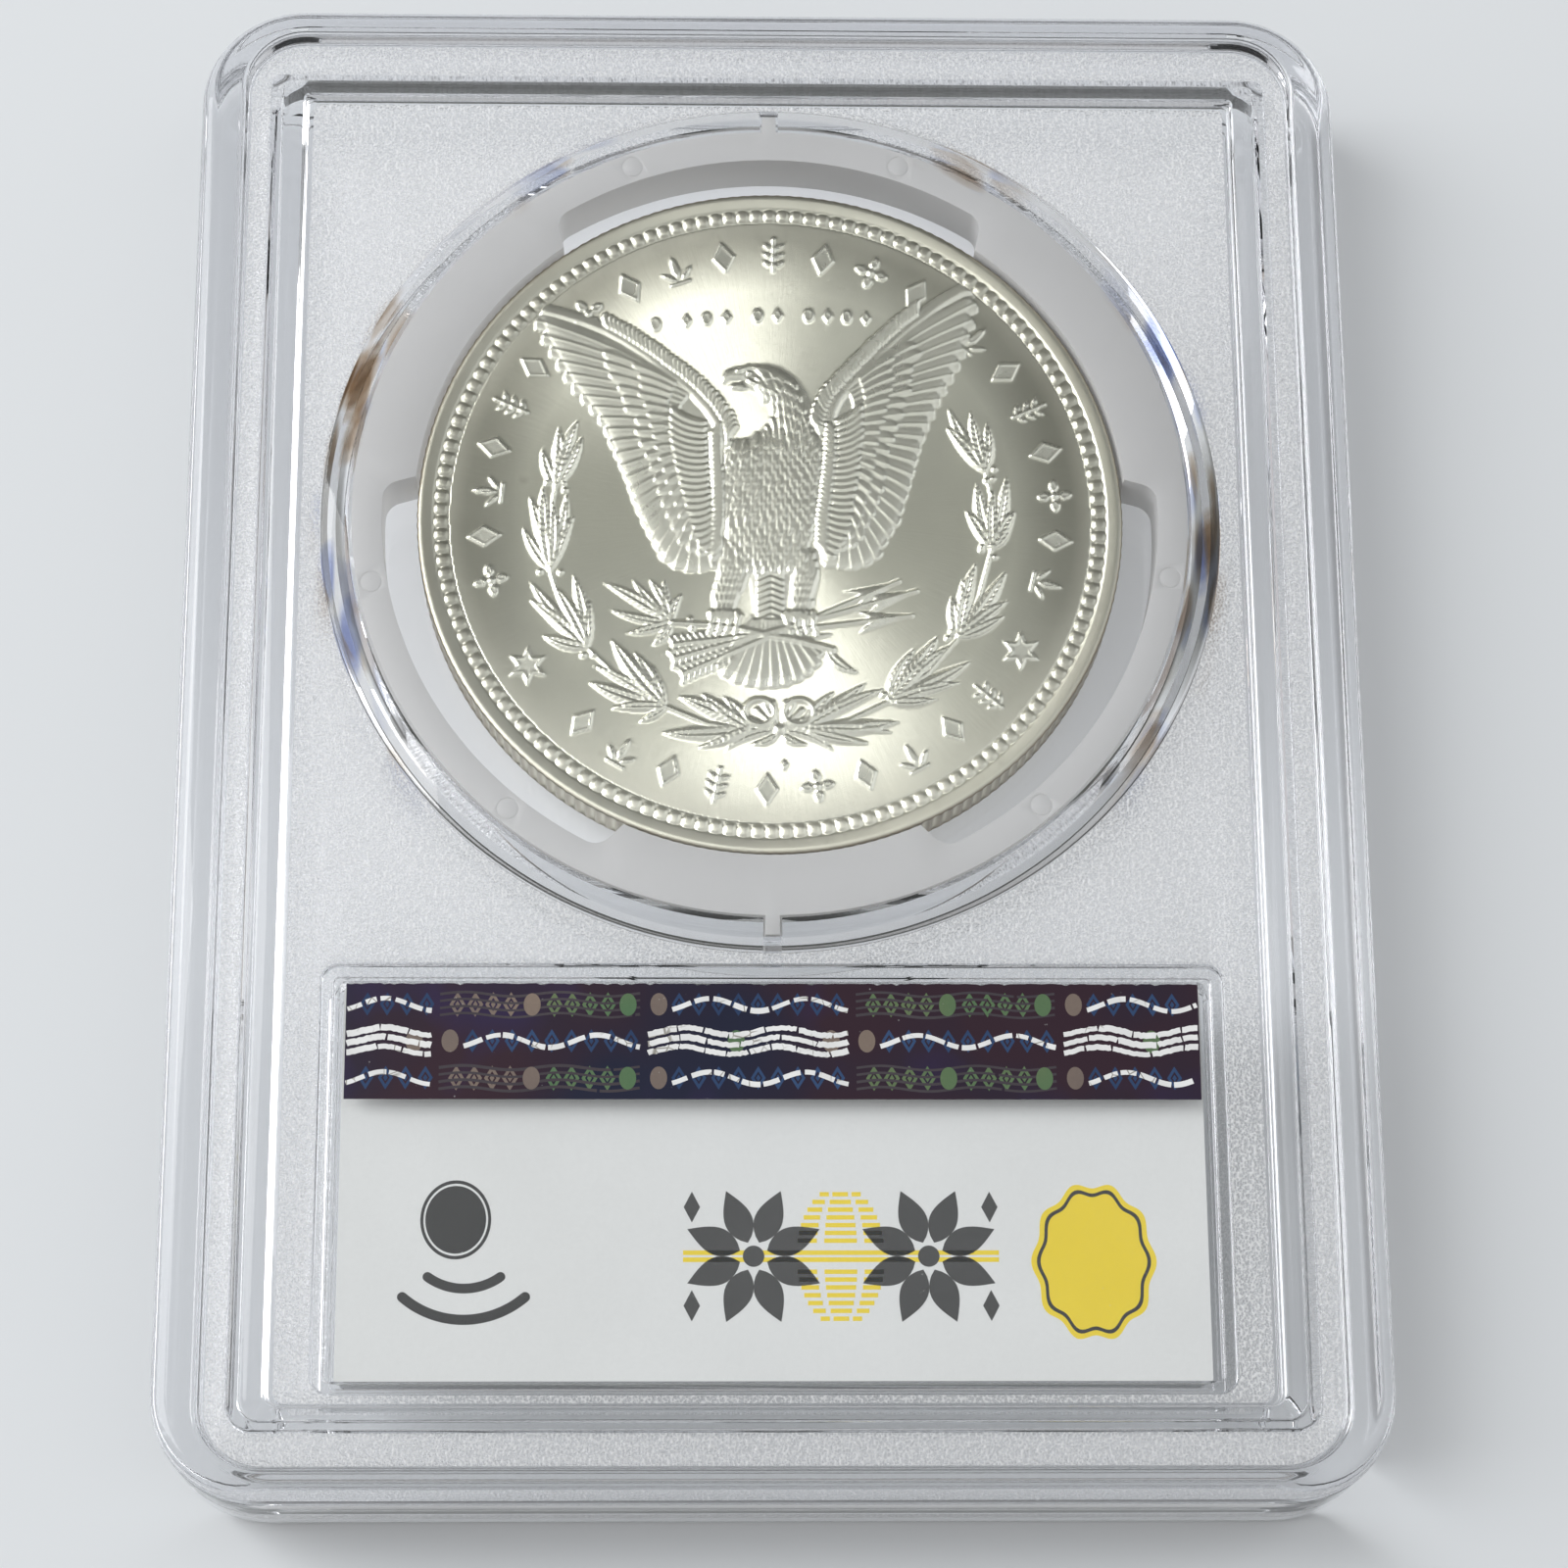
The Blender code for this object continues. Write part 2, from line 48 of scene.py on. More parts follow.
SLAB_W, SLAB_H, SLAB_T = 62.5, 82.5, 8.0
CORNER_R = 5.6
PARTING, SEAM = 4.0, 0.04       # height of the joint between the shells, and its gap
FACE = 7.1                      # rear panel and channel floor
RIM_ROUND = 0.95                # rounding of the slab's outer edge
WINDOW_Y, WINDOW_R_OUT, WINDOW_R_IN, WINDOW_TOP = 11.35, 24.15, 22.6, 7.4
COIN_Y, COIN_Z, COIN_R = 12.0, 4.0, 19.05
WELL_R, WELL_TOP = 22.65, 5.75  # round well that holds the coin insert
RIB_R = 24.15                   # rib round the well
PLATE_UNDER = 5.3               # underside of the shell's plate
CUT_START = 3.0                 # cuts into a shell begin here, outside its joint face
FRAME_HALF_W, FRAME_TOP, FRAME_BOTTOM = 23.4, -13.35, -35.75
POCKET_HALF_W, POCKET_TOP, POCKET_BOTTOM, POCKET_CEILING = 22.6, -13.95, -35.25, 5.36
POCKET_WALL = 1.15
PAD_TOP = 4.60
LABEL_HALF_W, LABEL_TOP, LABEL_BOTTOM = 22.25, -14.25, -34.95

scene = bpy.context.scene
parts = bpy.data.collections.new("graded_coin_slab_looks")
scene.collection.children.link(parts)
helpers = bpy.data.collections.new("helpers")
scene.collection.children.link(helpers)


def place(obj):
    parts.objects.link(obj)
    return obj


# =============================================================================
# points and outlines
# =============================================================================
def shares(count):
    """Evenly spaced values from 0 to 1."""
    return [i / (count - 1) for i in range(count)]


def polar(radius, degrees, centre=(0.0, 0.0)):
    angle = math.radians(degrees)
    return (centre[0] + radius * math.cos(angle), centre[1] + radius * math.sin(angle))


def between(start, end, share):
    return (start[0] + (end[0] - start[0]) * share, start[1] + (end[1] - start[1]) * share)


def point_at(line, share):
    """Point a share of the way along a polyline, by length."""
    lengths = [math.dist(a, b) for a, b in zip(line, line[1:])]
    left = min(max(share, 0.0), 1.0) * sum(lengths)
    for start, end, length in zip(line, line[1:], lengths):
        if left <= length or end == line[-1]:
            return between(start, end, min(left / length, 1.0))
        left -= length


def turned(centre, degrees, points, scale=1.0):
    """Points turned about the origin, scaled and moved to a centre."""
    cos, sin = math.cos(math.radians(degrees)), math.sin(math.radians(degrees))
    return [(centre[0] + scale * (x * cos - y * sin), centre[1] + scale * (x * sin + y * cos))
            for x, y in points]


def scaled(points, centre, factor):
    return [(centre[0] + (x - centre[0]) * factor, centre[1] + (y - centre[1]) * factor)
            for x, y in points]


def ellipse(x, y, radius, count, radius_y=None):
    angles = [2 * math.pi * i / count for i in range(count)]
    radius_y = radius_y or radius
    return [(x + radius * math.cos(a), y + radius_y * math.sin(a)) for a in angles]


def box(x0, y0, x1, y1):
    return [(x0, y0), (x1, y0), (x1, y1), (x0, y1)]


def rounded_box(half_w, bottom, top, radius, steps=14, bottom_radius=None):
    """Counter-clockwise rounded rectangle."""
    low_r = bottom_radius or radius
    points = []
    for side, edge, corner_r, start in (
        (1, top, radius, 0), (-1, top, radius, 90), (-1, bottom, low_r, 180), (1, bottom, low_r, 270),
    ):
        middle = (side * (half_w - corner_r), edge - corner_r if edge == top else edge + corner_r)
        points += [polar(corner_r, start + 90 * i / steps, middle) for i in range(steps + 1)]
    return points


def arc(centre, radius, start, end, steps):
    return [polar(radius, start + (end - start) * i / steps, centre) for i in range(steps + 1)]


# =============================================================================
# mesh building
# =============================================================================
class Body:
    """A mesh put together from rings of points."""

    def __init__(self):
        self.bm = bmesh.new()

    def ring(self, points, height):
        return [self.bm.verts.new((x * MM, y * MM, height * MM)) for x, y in points]

    def face(self, corners, material=0):
        self.bm.faces.new(corners).material_index = material

    def loft(self, rings, material=0):
        for low, high in zip(rings, rings[1:]):
            for i in range(len(low)):
                j = (i + 1) % len(low)
                self.face((low[i], low[j], high[j], high[i]), material)

    def fill(self, loops, material=0):
        """Flat face within the first loop, with the other loops as holes."""
        edges = [self.bm.edges.get((loop[i], loop[(i + 1) % len(loop)]))
                 for loop in loops for i in range(len(loop))]
        made = bmesh.ops.triangle_fill(self.bm, use_beauty=True, use_dissolve=False, edges=edges)
        for item in made["geom"]:
            if isinstance(item, bmesh.types.BMFace):
                item.material_index = material

    def slab(self, points, low, high, material):
        """Flat closed plate."""
        under, over = self.ring(points, low), self.ring(points, high)
        self.face(under[::-1], material)
        self.face(over, material)
        self.loft([under, over], material)

    def band(self, inner, outer, low, high, material, closed=True):
        """Plate between two lines of the same number of points."""
        in_low, out_low, in_high, out_high = [
            self.ring(line, z) for z in (low, high) for line in (inner, outer)]
        count = len(inner)
        for i in range(count if closed else count - 1):
            j = (i + 1) % count
            self.face((in_high[i], out_high[i], out_high[j], in_high[j]), material)
            self.face((in_low[i], in_low[j], out_low[j], out_low[i]), material)
            self.face((in_low[i], in_high[i], in_high[j], in_low[j]), material)
            self.face((out_low[i], out_low[j], out_high[j], out_high[i]), material)
        if not closed:
            self.face((in_low[0], out_low[0], out_high[0], in_high[0]), material)
            self.face((in_low[-1], in_high[-1], out_high[-1], out_low[-1]), material)

    def stroke(self, points, width, low, high, material):
        """Line of even width along points."""
        left, right = [], []
        for i, (x, y) in enumerate(points):
            before, after = points[max(i - 1, 0)], points[min(i + 1, len(points) - 1)]
            dx, dy = after[0] - before[0], after[1] - before[1]
            length = math.hypot(dx, dy)
            nx, ny = -dy / length * width / 2, dx / length * width / 2
            left.append((x + nx, y + ny))
            right.append((x - nx, y - ny))
        self.band(left, right, low, high, material, closed=False)

    def finish(self, name):
        bmesh.ops.recalc_face_normals(self.bm, faces=self.bm.faces)
        mesh = bpy.data.meshes.new(name)
        self.bm.to_mesh(mesh)
        self.bm.free()
        return bpy.data.objects.new(name, mesh)


def prism(loops, low, high, name="cutter"):
    """A closed prism, with any further loops as holes."""
    body = Body()
    under = [body.ring(points, low) for points in loops]
    over = [body.ring(points, high) for points in loops]
    for pair in zip(under, over):
        body.loft(pair)
    for rings in (under, over):
        if len(loops) == 1:
            body.face(rings[0])
        else:
            body.fill(rings)
    return body.finish(name)


def turned_solid(profile, count=192):
    """Solid turned about the coin's axis, from (radius, height) pairs."""
    body = Body()
    rings = [body.ring(ellipse(0, COIN_Y, radius, count), z) for radius, z in profile]
    body.loft(rings)
    body.face(rings[0])
    body.face(rings[-1])
    return body.finish("cutter")


def boolean(target, operation, *cutters):
    for cutter in cutters:
        helpers.objects.link(cutter)
        modifier = target.modifiers.new("boolean", "BOOLEAN")
        modifier.operation = operation
        modifier.solver = "EXACT"
        modifier.object = cutter


def bake_modifiers(obj):
    """Applies the modifiers and removes the cutters they used."""
    bpy.context.view_layer.update()
    graph = bpy.context.evaluated_depsgraph_get()
    mesh = bpy.data.meshes.new_from_object(
        obj.evaluated_get(graph), preserve_all_data_layers=True, depsgraph=graph)
    cutters = [m.object for m in obj.modifiers if m.type == "BOOLEAN"]
    obj.modifiers.clear()
    old = obj.data
    obj.data = mesh
    bpy.data.meshes.remove(old)
    for cutter in cutters:
        bpy.data.objects.remove(cutter, do_unlink=True)


def shade_smooth(mesh, sharp_degrees=None):
    mesh.polygons.foreach_set("use_smooth", [True] * len(mesh.polygons))
    if sharp_degrees:
        mesh.set_sharp_from_angle(angle=math.radians(sharp_degrees))
        mesh.update()


def only_material(mesh, material):
    mesh.materials.clear()
    mesh.materials.append(material)


# =============================================================================
# shader building
# =============================================================================
class Shader:
    """Builds the node tree of a material or a world. Inputs may be nodes, sockets or values."""

    def __init__(self, owner, output="OutputMaterial"):
        owner.use_nodes = True
        self.owner = owner
        self.tree = owner.node_tree
        self.tree.nodes.clear()
        self.output = self.node(output)

    def node(self, kind, inputs=None, **properties):
        node = self.tree.nodes.new("ShaderNode" + kind)
        for key, value in properties.items():
            setattr(node, key, value)
        for key, value in (inputs or {}).items():
            self.feed(node.inputs[key], value)
        return node

    def feed(self, socket, value):
        if value is None:
            return
        if isinstance(value, bpy.types.Node):
            value = value.outputs[0]
        if isinstance(value, bpy.types.NodeSocket):
            self.tree.links.new(value, socket)
        elif socket.type == "RGBA":
            socket.default_value = (*value, 1.0)
        else:
            socket.default_value = value

    def finish(self, surface):
        self.feed(self.output.inputs["Surface"], surface)
        return self.owner

    @cached_property
    def coords(self):
        """Object coordinates, in metres."""
        return self.node("TexCoord").outputs["Object"]

    def math(self, operation, first, second=None, third=None, clamp=False):
        inputs = {0: first, 1: second, 2: third}
        return self.node("Math", inputs, operation=operation, use_clamp=clamp).outputs[0]

    def times(self, first, second, clamp=False):
        return self.math("MULTIPLY", first, second, clamp=clamp)

    def plus(self, first, second):
        return self.math("ADD", first, second)

    def times_plus(self, value, factor, offset, clamp=False):
        return self.math("MULTIPLY_ADD", value, factor, offset, clamp)

    def vector(self, operation, first, second=None):
        return self.node("VectorMath", {0: first, 1: second}, operation=operation)

    def xyz(self, vector):
        return list(self.node("SeparateXYZ", {0: vector}).outputs)

    def radius_mm(self, x, y):
        square = self.plus(self.times(x, x), self.times(y, y))
        return self.times(self.math("SQRT", square), 1000.0)

    def mix(self, factor, start, end, blend="MIX"):
        inputs = {0: factor, 6: start, 7: end}
        return self.node("Mix", inputs, data_type="RGBA", blend_type=blend).outputs[2]

    def mix_shader(self, factor, start, end):
        return self.node("MixShader", {0: factor, 1: start, 2: end})

    def ramp(self, factor, stops):
        """Colour ramp; `stops` maps positions to greys or colours."""
        node = self.node("ValToRGB", {0: factor})
        points = node.color_ramp.elements
        while len(points) < len(stops):
            points.new(0.5)
        for point, (position, value) in zip(points, stops.items()):
            point.position = position
            point.color = (*value, 1.0) if isinstance(value, tuple) else (value, value, value, 1.0)
        return node.outputs[0]

    def two_tone(self, factor, edges, start, end):
        """Mix that goes from start to end while the factor passes between two edges."""
        return self.mix(self.ramp(factor, {edges[0]: 0.0, edges[1]: 1.0}), start, end)

    def noise(self, scale, detail=2.0, roughness=0.5, vector=None, **properties):
        inputs = {"Scale": scale, "Detail": detail, "Roughness": roughness,
                  "Vector": vector or self.coords}
        return self.node("TexNoise", inputs, **properties).outputs["Fac"]

    def voronoi(self, scale, **properties):
        inputs = {"Scale": scale, "Vector": self.coords}
        return self.node("TexVoronoi", inputs, **properties).outputs["Distance"]

    def specks(self, scale, dot, patch_scale, patch, feature="F1"):
        """Small marks of one cell each, kept only where a broad noise allows them."""
        marks = self.ramp(self.voronoi(scale, feature=feature), dot)
        return self.times(marks, self.ramp(self.noise(patch_scale), patch))

    def bump(self, height, strength, distance, normal=None):
        """`distance` is in metres."""
        inputs = {"Strength": strength, "Distance": distance, "Height": height, "Normal": normal}
        return self.node("Bump", inputs).outputs["Normal"]

    def lighting_ray(self):
        """1 for the rays that only carry light: shadow and diffuse ones."""
        path = self.node("LightPath").outputs
        return self.math("MAXIMUM", path["Is Shadow Ray"], path["Is Diffuse Ray"])


def material_shader(name):
    return Shader(bpy.data.materials.new(name))


# =============================================================================
# plastics
# =============================================================================
def let_light_through(shader, body, face_tint):
    """Lighting rays pass straight through the plastic, less so where they graze a wall."""
    facing = shader.node("LayerWeight", {"Blend": 0.5}).outputs["Facing"]
    tint = shader.two_tone(facing, edges=(0.55, 0.97), start=face_tint, end=(0.74, 0.745, 0.755))
    x, y, _ = shader.xyz(shader.coords)

    def beyond(value, metres):
        return shader.math("GREATER_THAN", value, metres)

    at_wall = shader.math("MAXIMUM", beyond(shader.math("ABSOLUTE", x), 0.0306),
                          beyond(shader.math("ABSOLUTE", y), 0.0406))
    # painted shadow: lighting rays crossing the -Y wall are darkened most and those crossing the +X wall
    # about half as much, deepening the floor's shadow beyond those two sides
    painted_shade = shader.math("MAXIMUM", shader.math("LESS_THAN", y, -0.0402),
                       shader.times(beyond(x, 0.0302), 0.55))
    wall_tint = shader.mix(painted_shade, start=(0.88, 0.88, 0.89), end=(0.12, 0.11, 0.105))
    clear = shader.node("BsdfTransparent", {"Color": shader.mix(at_wall, tint, wall_tint)})
    return shader.finish(shader.mix_shader(shader.lighting_ray(), body, clear))


def glass(shader, colour, roughness, normal=None):
    inputs = {"IOR": 1.56, "Color": colour, "Roughness": roughness, "Normal": normal}
    return shader.node("BsdfGlass", inputs, distribution="MULTI_GGX")


def polished_plastic():
    """Polystyrene, with painted reflections of brown and blue in patches on its window ring."""
    shader = material_shader("clear_polystyrene")
    haze = shader.noise(scale=90.0, detail=3.0)
    x, y, _ = shader.xyz(shader.coords)
    from_middle = shader.math("SUBTRACT", y, WINDOW_Y * MM)
    reach = shader.radius_mm(x, from_middle)
    ring = shader.ramp(shader.math("DIVIDE", reach, 30.0),
                       {0.750: 0.0, 0.765: 1.0, 0.812: 1.0, 0.830: 0.0})
    around = shader.math("ARCTAN2", from_middle, x)

    def wave(turns, lean, amount):
        angle = shader.times_plus(around, turns, shader.times(reach, lean))
        return shader.times(shader.math("SINE", angle), amount)

    def sideways(stops):
        """Ramp over the distance from the middle line, as a share of 24.2 mm."""
        return shader.ramp(shader.math("DIVIDE", shader.math("ABSOLUTE", x), 0.0242), stops)

    # painted reflections: brown and blue patches tinted into the clear glass on the window ring's flanks
    # and crown, standing in for the dark surroundings its bevel mirrors
    reflection_blots = shader.plus(0.5, shader.plus(wave(turns=11.0, lean=1.7, amount=0.26),
                                         wave(turns=27.0, lean=-3.1, amount=0.20)))
    hue = shader.plus(0.5, wave(turns=7.0, lean=2.3, amount=0.5))
    flank = sideways({0.72: 0.0, 0.88: 1.0})
    crown = shader.times(shader.math("GREATER_THAN", from_middle, 0.016),
                         sideways({0.30: 0.0, 0.45: 0.8, 0.60: 0.0}))
    amount = shader.times(shader.times(ring, shader.math("MAXIMUM", flank, crown)),
                          shader.ramp(reflection_blots, {0.56: 0.0, 0.72: 1.0}))
    reflection_tint = shader.two_tone(hue, edges=(0.45, 0.56), start=(0.70, 0.62, 0.54), end=(0.68, 0.72, 0.86))
    roughness = shader.times(shader.ramp(haze, {0.60: 0.0, 0.80: 1.0}), 0.03)
    body = glass(shader, shader.mix(amount, start=(0.988, 0.99, 0.995), end=reflection_tint), roughness)
    return let_light_through(shader, body, face_tint=(0.993, 0.993, 0.995))


def frosted_plastic():
    """Polystyrene veiled by a fine grain of white specks."""
    shader = material_shader("frosted_polystyrene")
    haze = shader.noise(scale=90.0, detail=3.0)
    grains = shader.voronoi(6400.0, voronoi_dimensions="2D")
    clumps = shader.noise(scale=3300.0, roughness=0.6, noise_dimensions="2D")

    def grit(grain_share, clump_share):
        return shader.plus(shader.times(grains, grain_share), shader.times(clumps, clump_share))

    normal = shader.bump(grit(grain_share=0.7, clump_share=0.9), strength=0.8, distance=0.00007)
    clear = glass(shader, (0.995, 0.995, 1.0), shader.times_plus(haze, 0.10, 0.20), normal)
    tint = shader.two_tone(grit(grain_share=0.7, clump_share=0.6), edges=(0.35, 0.80),
                           start=(0.84, 0.85, 0.865), end=(1.0, 1.0, 1.0))
    white = shader.mix_shader(0.25, shader.node("BsdfDiffuse", {"Color": tint, "Normal": normal}),
                              shader.node("BsdfTranslucent", {"Color": tint}))
    pits = shader.ramp(grit(grain_share=0.55, clump_share=0.45), {0.34: 0.20, 0.60: 0.62})
    body = shader.mix_shader(pits, clear, white)
    return let_light_through(shader, body, face_tint=(0.985, 0.985, 0.988))


def insert_material():
    """Milky soft plastic that glows where light comes through it."""
    shader = material_shader("translucent_insert")
    cloud = shader.noise(scale=60.0, detail=3.0)
    grain = shader.noise(scale=3000.0, detail=3.0, roughness=0.6)
    colour = shader.two_tone(cloud, edges=(0.35, 0.7),
                             start=(0.74, 0.735, 0.725), end=(0.79, 0.785, 0.775))
    surface = shader.node("BsdfPrincipled", {
        "Base Color": colour,
        "Roughness": 0.42,
        "Normal": shader.bump(grain, strength=0.25, distance=0.00003),
    })
    milky = shader.mix_shader(0.38, surface, shader.node("BsdfTranslucent", {"Color": colour}))
    clear = shader.node("BsdfTransparent", {"Color": (0.96, 0.955, 0.95)})
    passing = shader.times(shader.lighting_ray(), 0.97)
    return shader.finish(shader.mix_shader(passing, milky, clear))


# =============================================================================
# shells
# =============================================================================
CLEAR, FROST = 0, 1             # material slots of a shell

# stacking ridge: share of the way from its outer foot to its inner foot, height, widening
RIDGE = (
    (0.0, FACE, 0.07), (0.0, FACE + 0.07, 0.0), (0.02, 7.38, 0.0), (0.04, 7.44, 0.0),
    (0.07, 7.45, 0.0), (0.26, 7.46, 0.0), (0.285, 7.50, 0.0), (0.30, 7.66, 0.0),
    (0.32, 7.72, 0.0), (0.36, 7.75, 0.0), (0.72, 7.75, 0.0), (0.78, 7.73, 0.0),
    (0.82, 7.66, 0.0), (0.86, 7.30, 0.0), (0.90, 7.16, 0.0), (1.0, FACE, 0.0),
)
# raised coin window with a bevelled edge: radius, height
WINDOW = (
    (WINDOW_R_OUT, FACE), (WINDOW_R_OUT - 0.02, FACE + 0.05), (WINDOW_R_OUT - 0.10, FACE + 0.095),
    (WINDOW_R_OUT - 0.22, FACE + 0.125), (WINDOW_R_IN + 0.30, WINDOW_TOP - 0.055),
    (WINDOW_R_IN + 0.12, WINDOW_TOP - 0.026), (WINDOW_R_IN - 0.05, WINDOW_TOP - 0.007),
    (WINDOW_R_IN - 0.25, WINDOW_TOP), (18.0, WINDOW_TOP), (9.0, WINDOW_TOP),
)
# stepped frame of the recessed label window: inset, depth below the face
LABEL_FRAME = (
    (0.0, 0.0), (0.05, 0.02), (0.08, 0.06), (0.10, 0.20), (0.16, 0.245), (0.24, 0.25),
    (0.62, 0.26), (0.68, 0.29), (0.71, 0.45), (0.78, 0.49), (0.90, 0.50),
)


def wall_outline(inset):
    half_h = SLAB_H / 2 - inset
    return rounded_box(SLAB_W / 2 - inset, -half_h, half_h, CORNER_R - inset)


def rim_outline(share, widening=0.0):
    """From the rim's flat top (0) to the channel's outer wall (1)."""
    start = (SLAB_W / 2 - RIM_ROUND, SLAB_H / 2 - RIM_ROUND, CORNER_R - RIM_ROUND)
    half_w, half_h, radius = [
        a + (b - a) * share + widening for a, b in zip(start, (28.8, 39.5, 3.2))]
    return rounded_box(half_w, -half_h, half_h, radius)


def ridge_outline(share, widening):
    return rounded_box(
        27.5 - 2.35 * share + widening,
        bottom=-37.55 + 1.40 * share - widening,
        top=37.45 - 1.70 * share + widening,
        radius=max(0.55 - 0.25 * share + widening, 0.12),
        bottom_radius=max(1.35 - 0.75 * share + widening, 0.12),
    )


def shell_skin(name, flip):
    """Outer skin of a shell, closed flat at the parting plane."""
    body = Body()
    joint, shoulder = PARTING + SEAM / 2, SLAB_T - RIM_ROUND
    stations = [(wall_outline(0.03), joint), (wall_outline(0.0), joint + 0.06)]
    stations.append((wall_outline(0.0), shoulder))
    stations += [(wall_outline(inset), z)
                 for inset, z in arc((RIM_ROUND, shoulder), RIM_ROUND, 180, 90, 9)[1:]]
    stations.append((rim_outline(0.45), SLAB_T))
    # rounded top of the channel wall, then the fillet at its foot
    for x, z in arc((0.3, 7.7), 0.3, 90, 180, 5) + arc((-0.23, FACE + 0.18), 0.18, 0, -90, 4):
        stations.append((rim_outline(1.0, x), z))
    floor_start = len(stations) - 1
    stations += [(ridge_outline(share, widening), z) for share, z, widening in RIDGE]
    rings = [body.ring(points, flip(z)) for points, z in stations]
    body.loft(rings[:floor_start + 1], CLEAR)
    body.loft(rings[floor_start:floor_start + 2], FROST)
    body.loft(rings[floor_start + 1:], CLEAR)

    window = [body.ring(ellipse(0, WINDOW_Y, radius, 224), flip(z)) for radius, z in WINDOW]
    body.loft(window, CLEAR)
    body.face(window[-1], CLEAR)

    label_frame = []
    for inset, depth in LABEL_FRAME:
        outline = rounded_box(FRAME_HALF_W - inset, FRAME_BOTTOM + inset, FRAME_TOP - inset,
                              max(1.0 - inset, 0.2), steps=8)
        label_frame.append(body.ring(outline, flip(FACE - depth)))
    body.loft(label_frame, CLEAR)
    body.face(label_frame[-1], CLEAR)

    body.fill([rings[-1], window[0], label_frame[0]], FROST)
    body.face(rings[0], CLEAR)
    return body.finish(name)


def joint_loops(clearance):
    """Outer and inner outline of the tongue, or of its groove when given a clearance."""
    return [rounded_box(half_w, -half_h, half_h, radius, steps=10) for half_w, half_h, radius in (
        (29.5 + clearance, 39.8 + clearance, 4.0 + clearance),
        (28.6 - clearance, 38.9 - clearance, 3.1 - clearance))]


def build_shell(name, rear):
    """One shell. Heights are those of the rear shell; the front one is mirrored in Z."""
    def flip(z):
        return z if rear else SLAB_T - z

    def span(*heights):
        return sorted(flip(z) for z in heights)

    def turned_at(*profile):
        return turned_solid([(radius, flip(z)) for radius, z in profile])

    shell = place(shell_skin(name, flip))
    shell.data.materials.append(polished)
    shell.data.materials.append(frosted)
    cavity = rounded_box(27.0, -37.5, 37.5, 2.0, steps=6)
    boolean(shell, "DIFFERENCE", prism([cavity], *span(CUT_START, PLATE_UNDER)))
    boolean(shell, "UNION", turned_at((RIB_R, PLATE_UNDER + 0.2), (RIB_R, PARTING + 0.50),
                                      (RIB_R - 0.48, PARTING + SEAM / 2)))
    if rear:
        wall = rounded_box(POCKET_HALF_W + POCKET_WALL, POCKET_BOTTOM - POCKET_WALL,
                           POCKET_TOP + POCKET_WALL, 1.2, steps=6)
        pocket = rounded_box(POCKET_HALF_W, POCKET_BOTTOM, POCKET_TOP, 0.5, steps=5)
        boolean(shell, "UNION", prism([wall], *span(PARTING + SEAM / 2, PLATE_UNDER + 0.2)))
        boolean(shell, "DIFFERENCE", prism([pocket], *span(CUT_START, POCKET_CEILING)))
    else:
        pad = rounded_box(LABEL_HALF_W, LABEL_BOTTOM, LABEL_TOP, 0.5, steps=5)
        boolean(shell, "UNION", prism([pad], 2.5, PAD_TOP))
    boolean(shell, "DIFFERENCE", turned_at(
        (WELL_R, WELL_TOP), (WELL_R, PARTING + 0.62),
        (WELL_R + 0.60, PARTING + 0.02), (WELL_R + 0.60, CUT_START)))
    # slots for the two tabs of the insert
    for side in (1, -1):
        near, far = sorted((COIN_Y + side * 21.5, COIN_Y + side * 23.6))
        slot = box(-0.49, near, 0.49, far)
        boolean(shell, "DIFFERENCE", prism([slot], *span(CUT_START, WELL_TOP)))
    if rear:
        boolean(shell, "UNION", prism(joint_loops(clearance=0.0), 3.3, 4.5))
    else:
        boolean(shell, "DIFFERENCE", prism(joint_loops(clearance=0.06), 3.22, 5.0))
    bake_modifiers(shell)
    shade_smooth(shell.data, sharp_degrees=24)
    return shell


polished = polished_plastic()
frosted = frosted_plastic()
rear_shell = build_shell("rear_shell_clear", True)
front_shell = build_shell("front_shell_clear", False)


# =============================================================================
# coin insert: a ring that grips the coin with three broad prongs
# =============================================================================
INSERT_R, INSERT_LO, INSERT_HI = 22.5, 2.35, 5.65
TAB_HALF_W, TAB_REACH = 0.375, 23.45
PRONG_R, RECESS_R = 19.22, 20.9
PRONG_HALF, PRONG_ROOT_HALF = 24.0, 25.6            # degrees
PRONGS = (30.0, 150.0, 270.0)                       # degrees
PINS_AT = (70.8, 110.3, 190.8, 230.3, 310.8, 350.3)  # degrees
COIN_CENTRE = (0.0, COIN_Y)


def recess_corner(edge, way):
    """Rounded outer corner of a recess, `way` being +1 where the recess begins."""
    points = []
    for k in range(6):
        turn = k / 5 * math.pi / 2
        rise, run = 1 - math.sin(turn), 1 - math.cos(turn)
        points.append(polar(RECESS_R - 0.8 * rise, edge + way * (2.2 * run - 0.6 * rise), COIN_CENTRE))
    return points


def insert_inner():
    points = []
    for prong in PRONGS:
        points += arc(COIN_CENTRE, PRONG_R, prong - PRONG_HALF, prong + PRONG_HALF, 24)
        first, last = prong + PRONG_ROOT_HALF, prong + 120 - PRONG_ROOT_HALF
        points += recess_corner(first, 1)
        points += arc(COIN_CENTRE, RECESS_R, first + 2.2, last - 2.2, 32)[1:-1]
        points += recess_corner(last, -1)[::-1]
    return points


def insert_outer():
    points = []
    half = math.degrees(math.asin(TAB_HALF_W / INSERT_R))
    for tab, side in ((90.0, 1), (270.0, -1)):
        points += arc(COIN_CENTRE, INSERT_R, tab - 180 + half, tab - half, 80)
        points.append((side * TAB_HALF_W, COIN_Y + side * TAB_REACH))
        points.append((-side * TAB_HALF_W, COIN_Y + side * TAB_REACH))
    return points


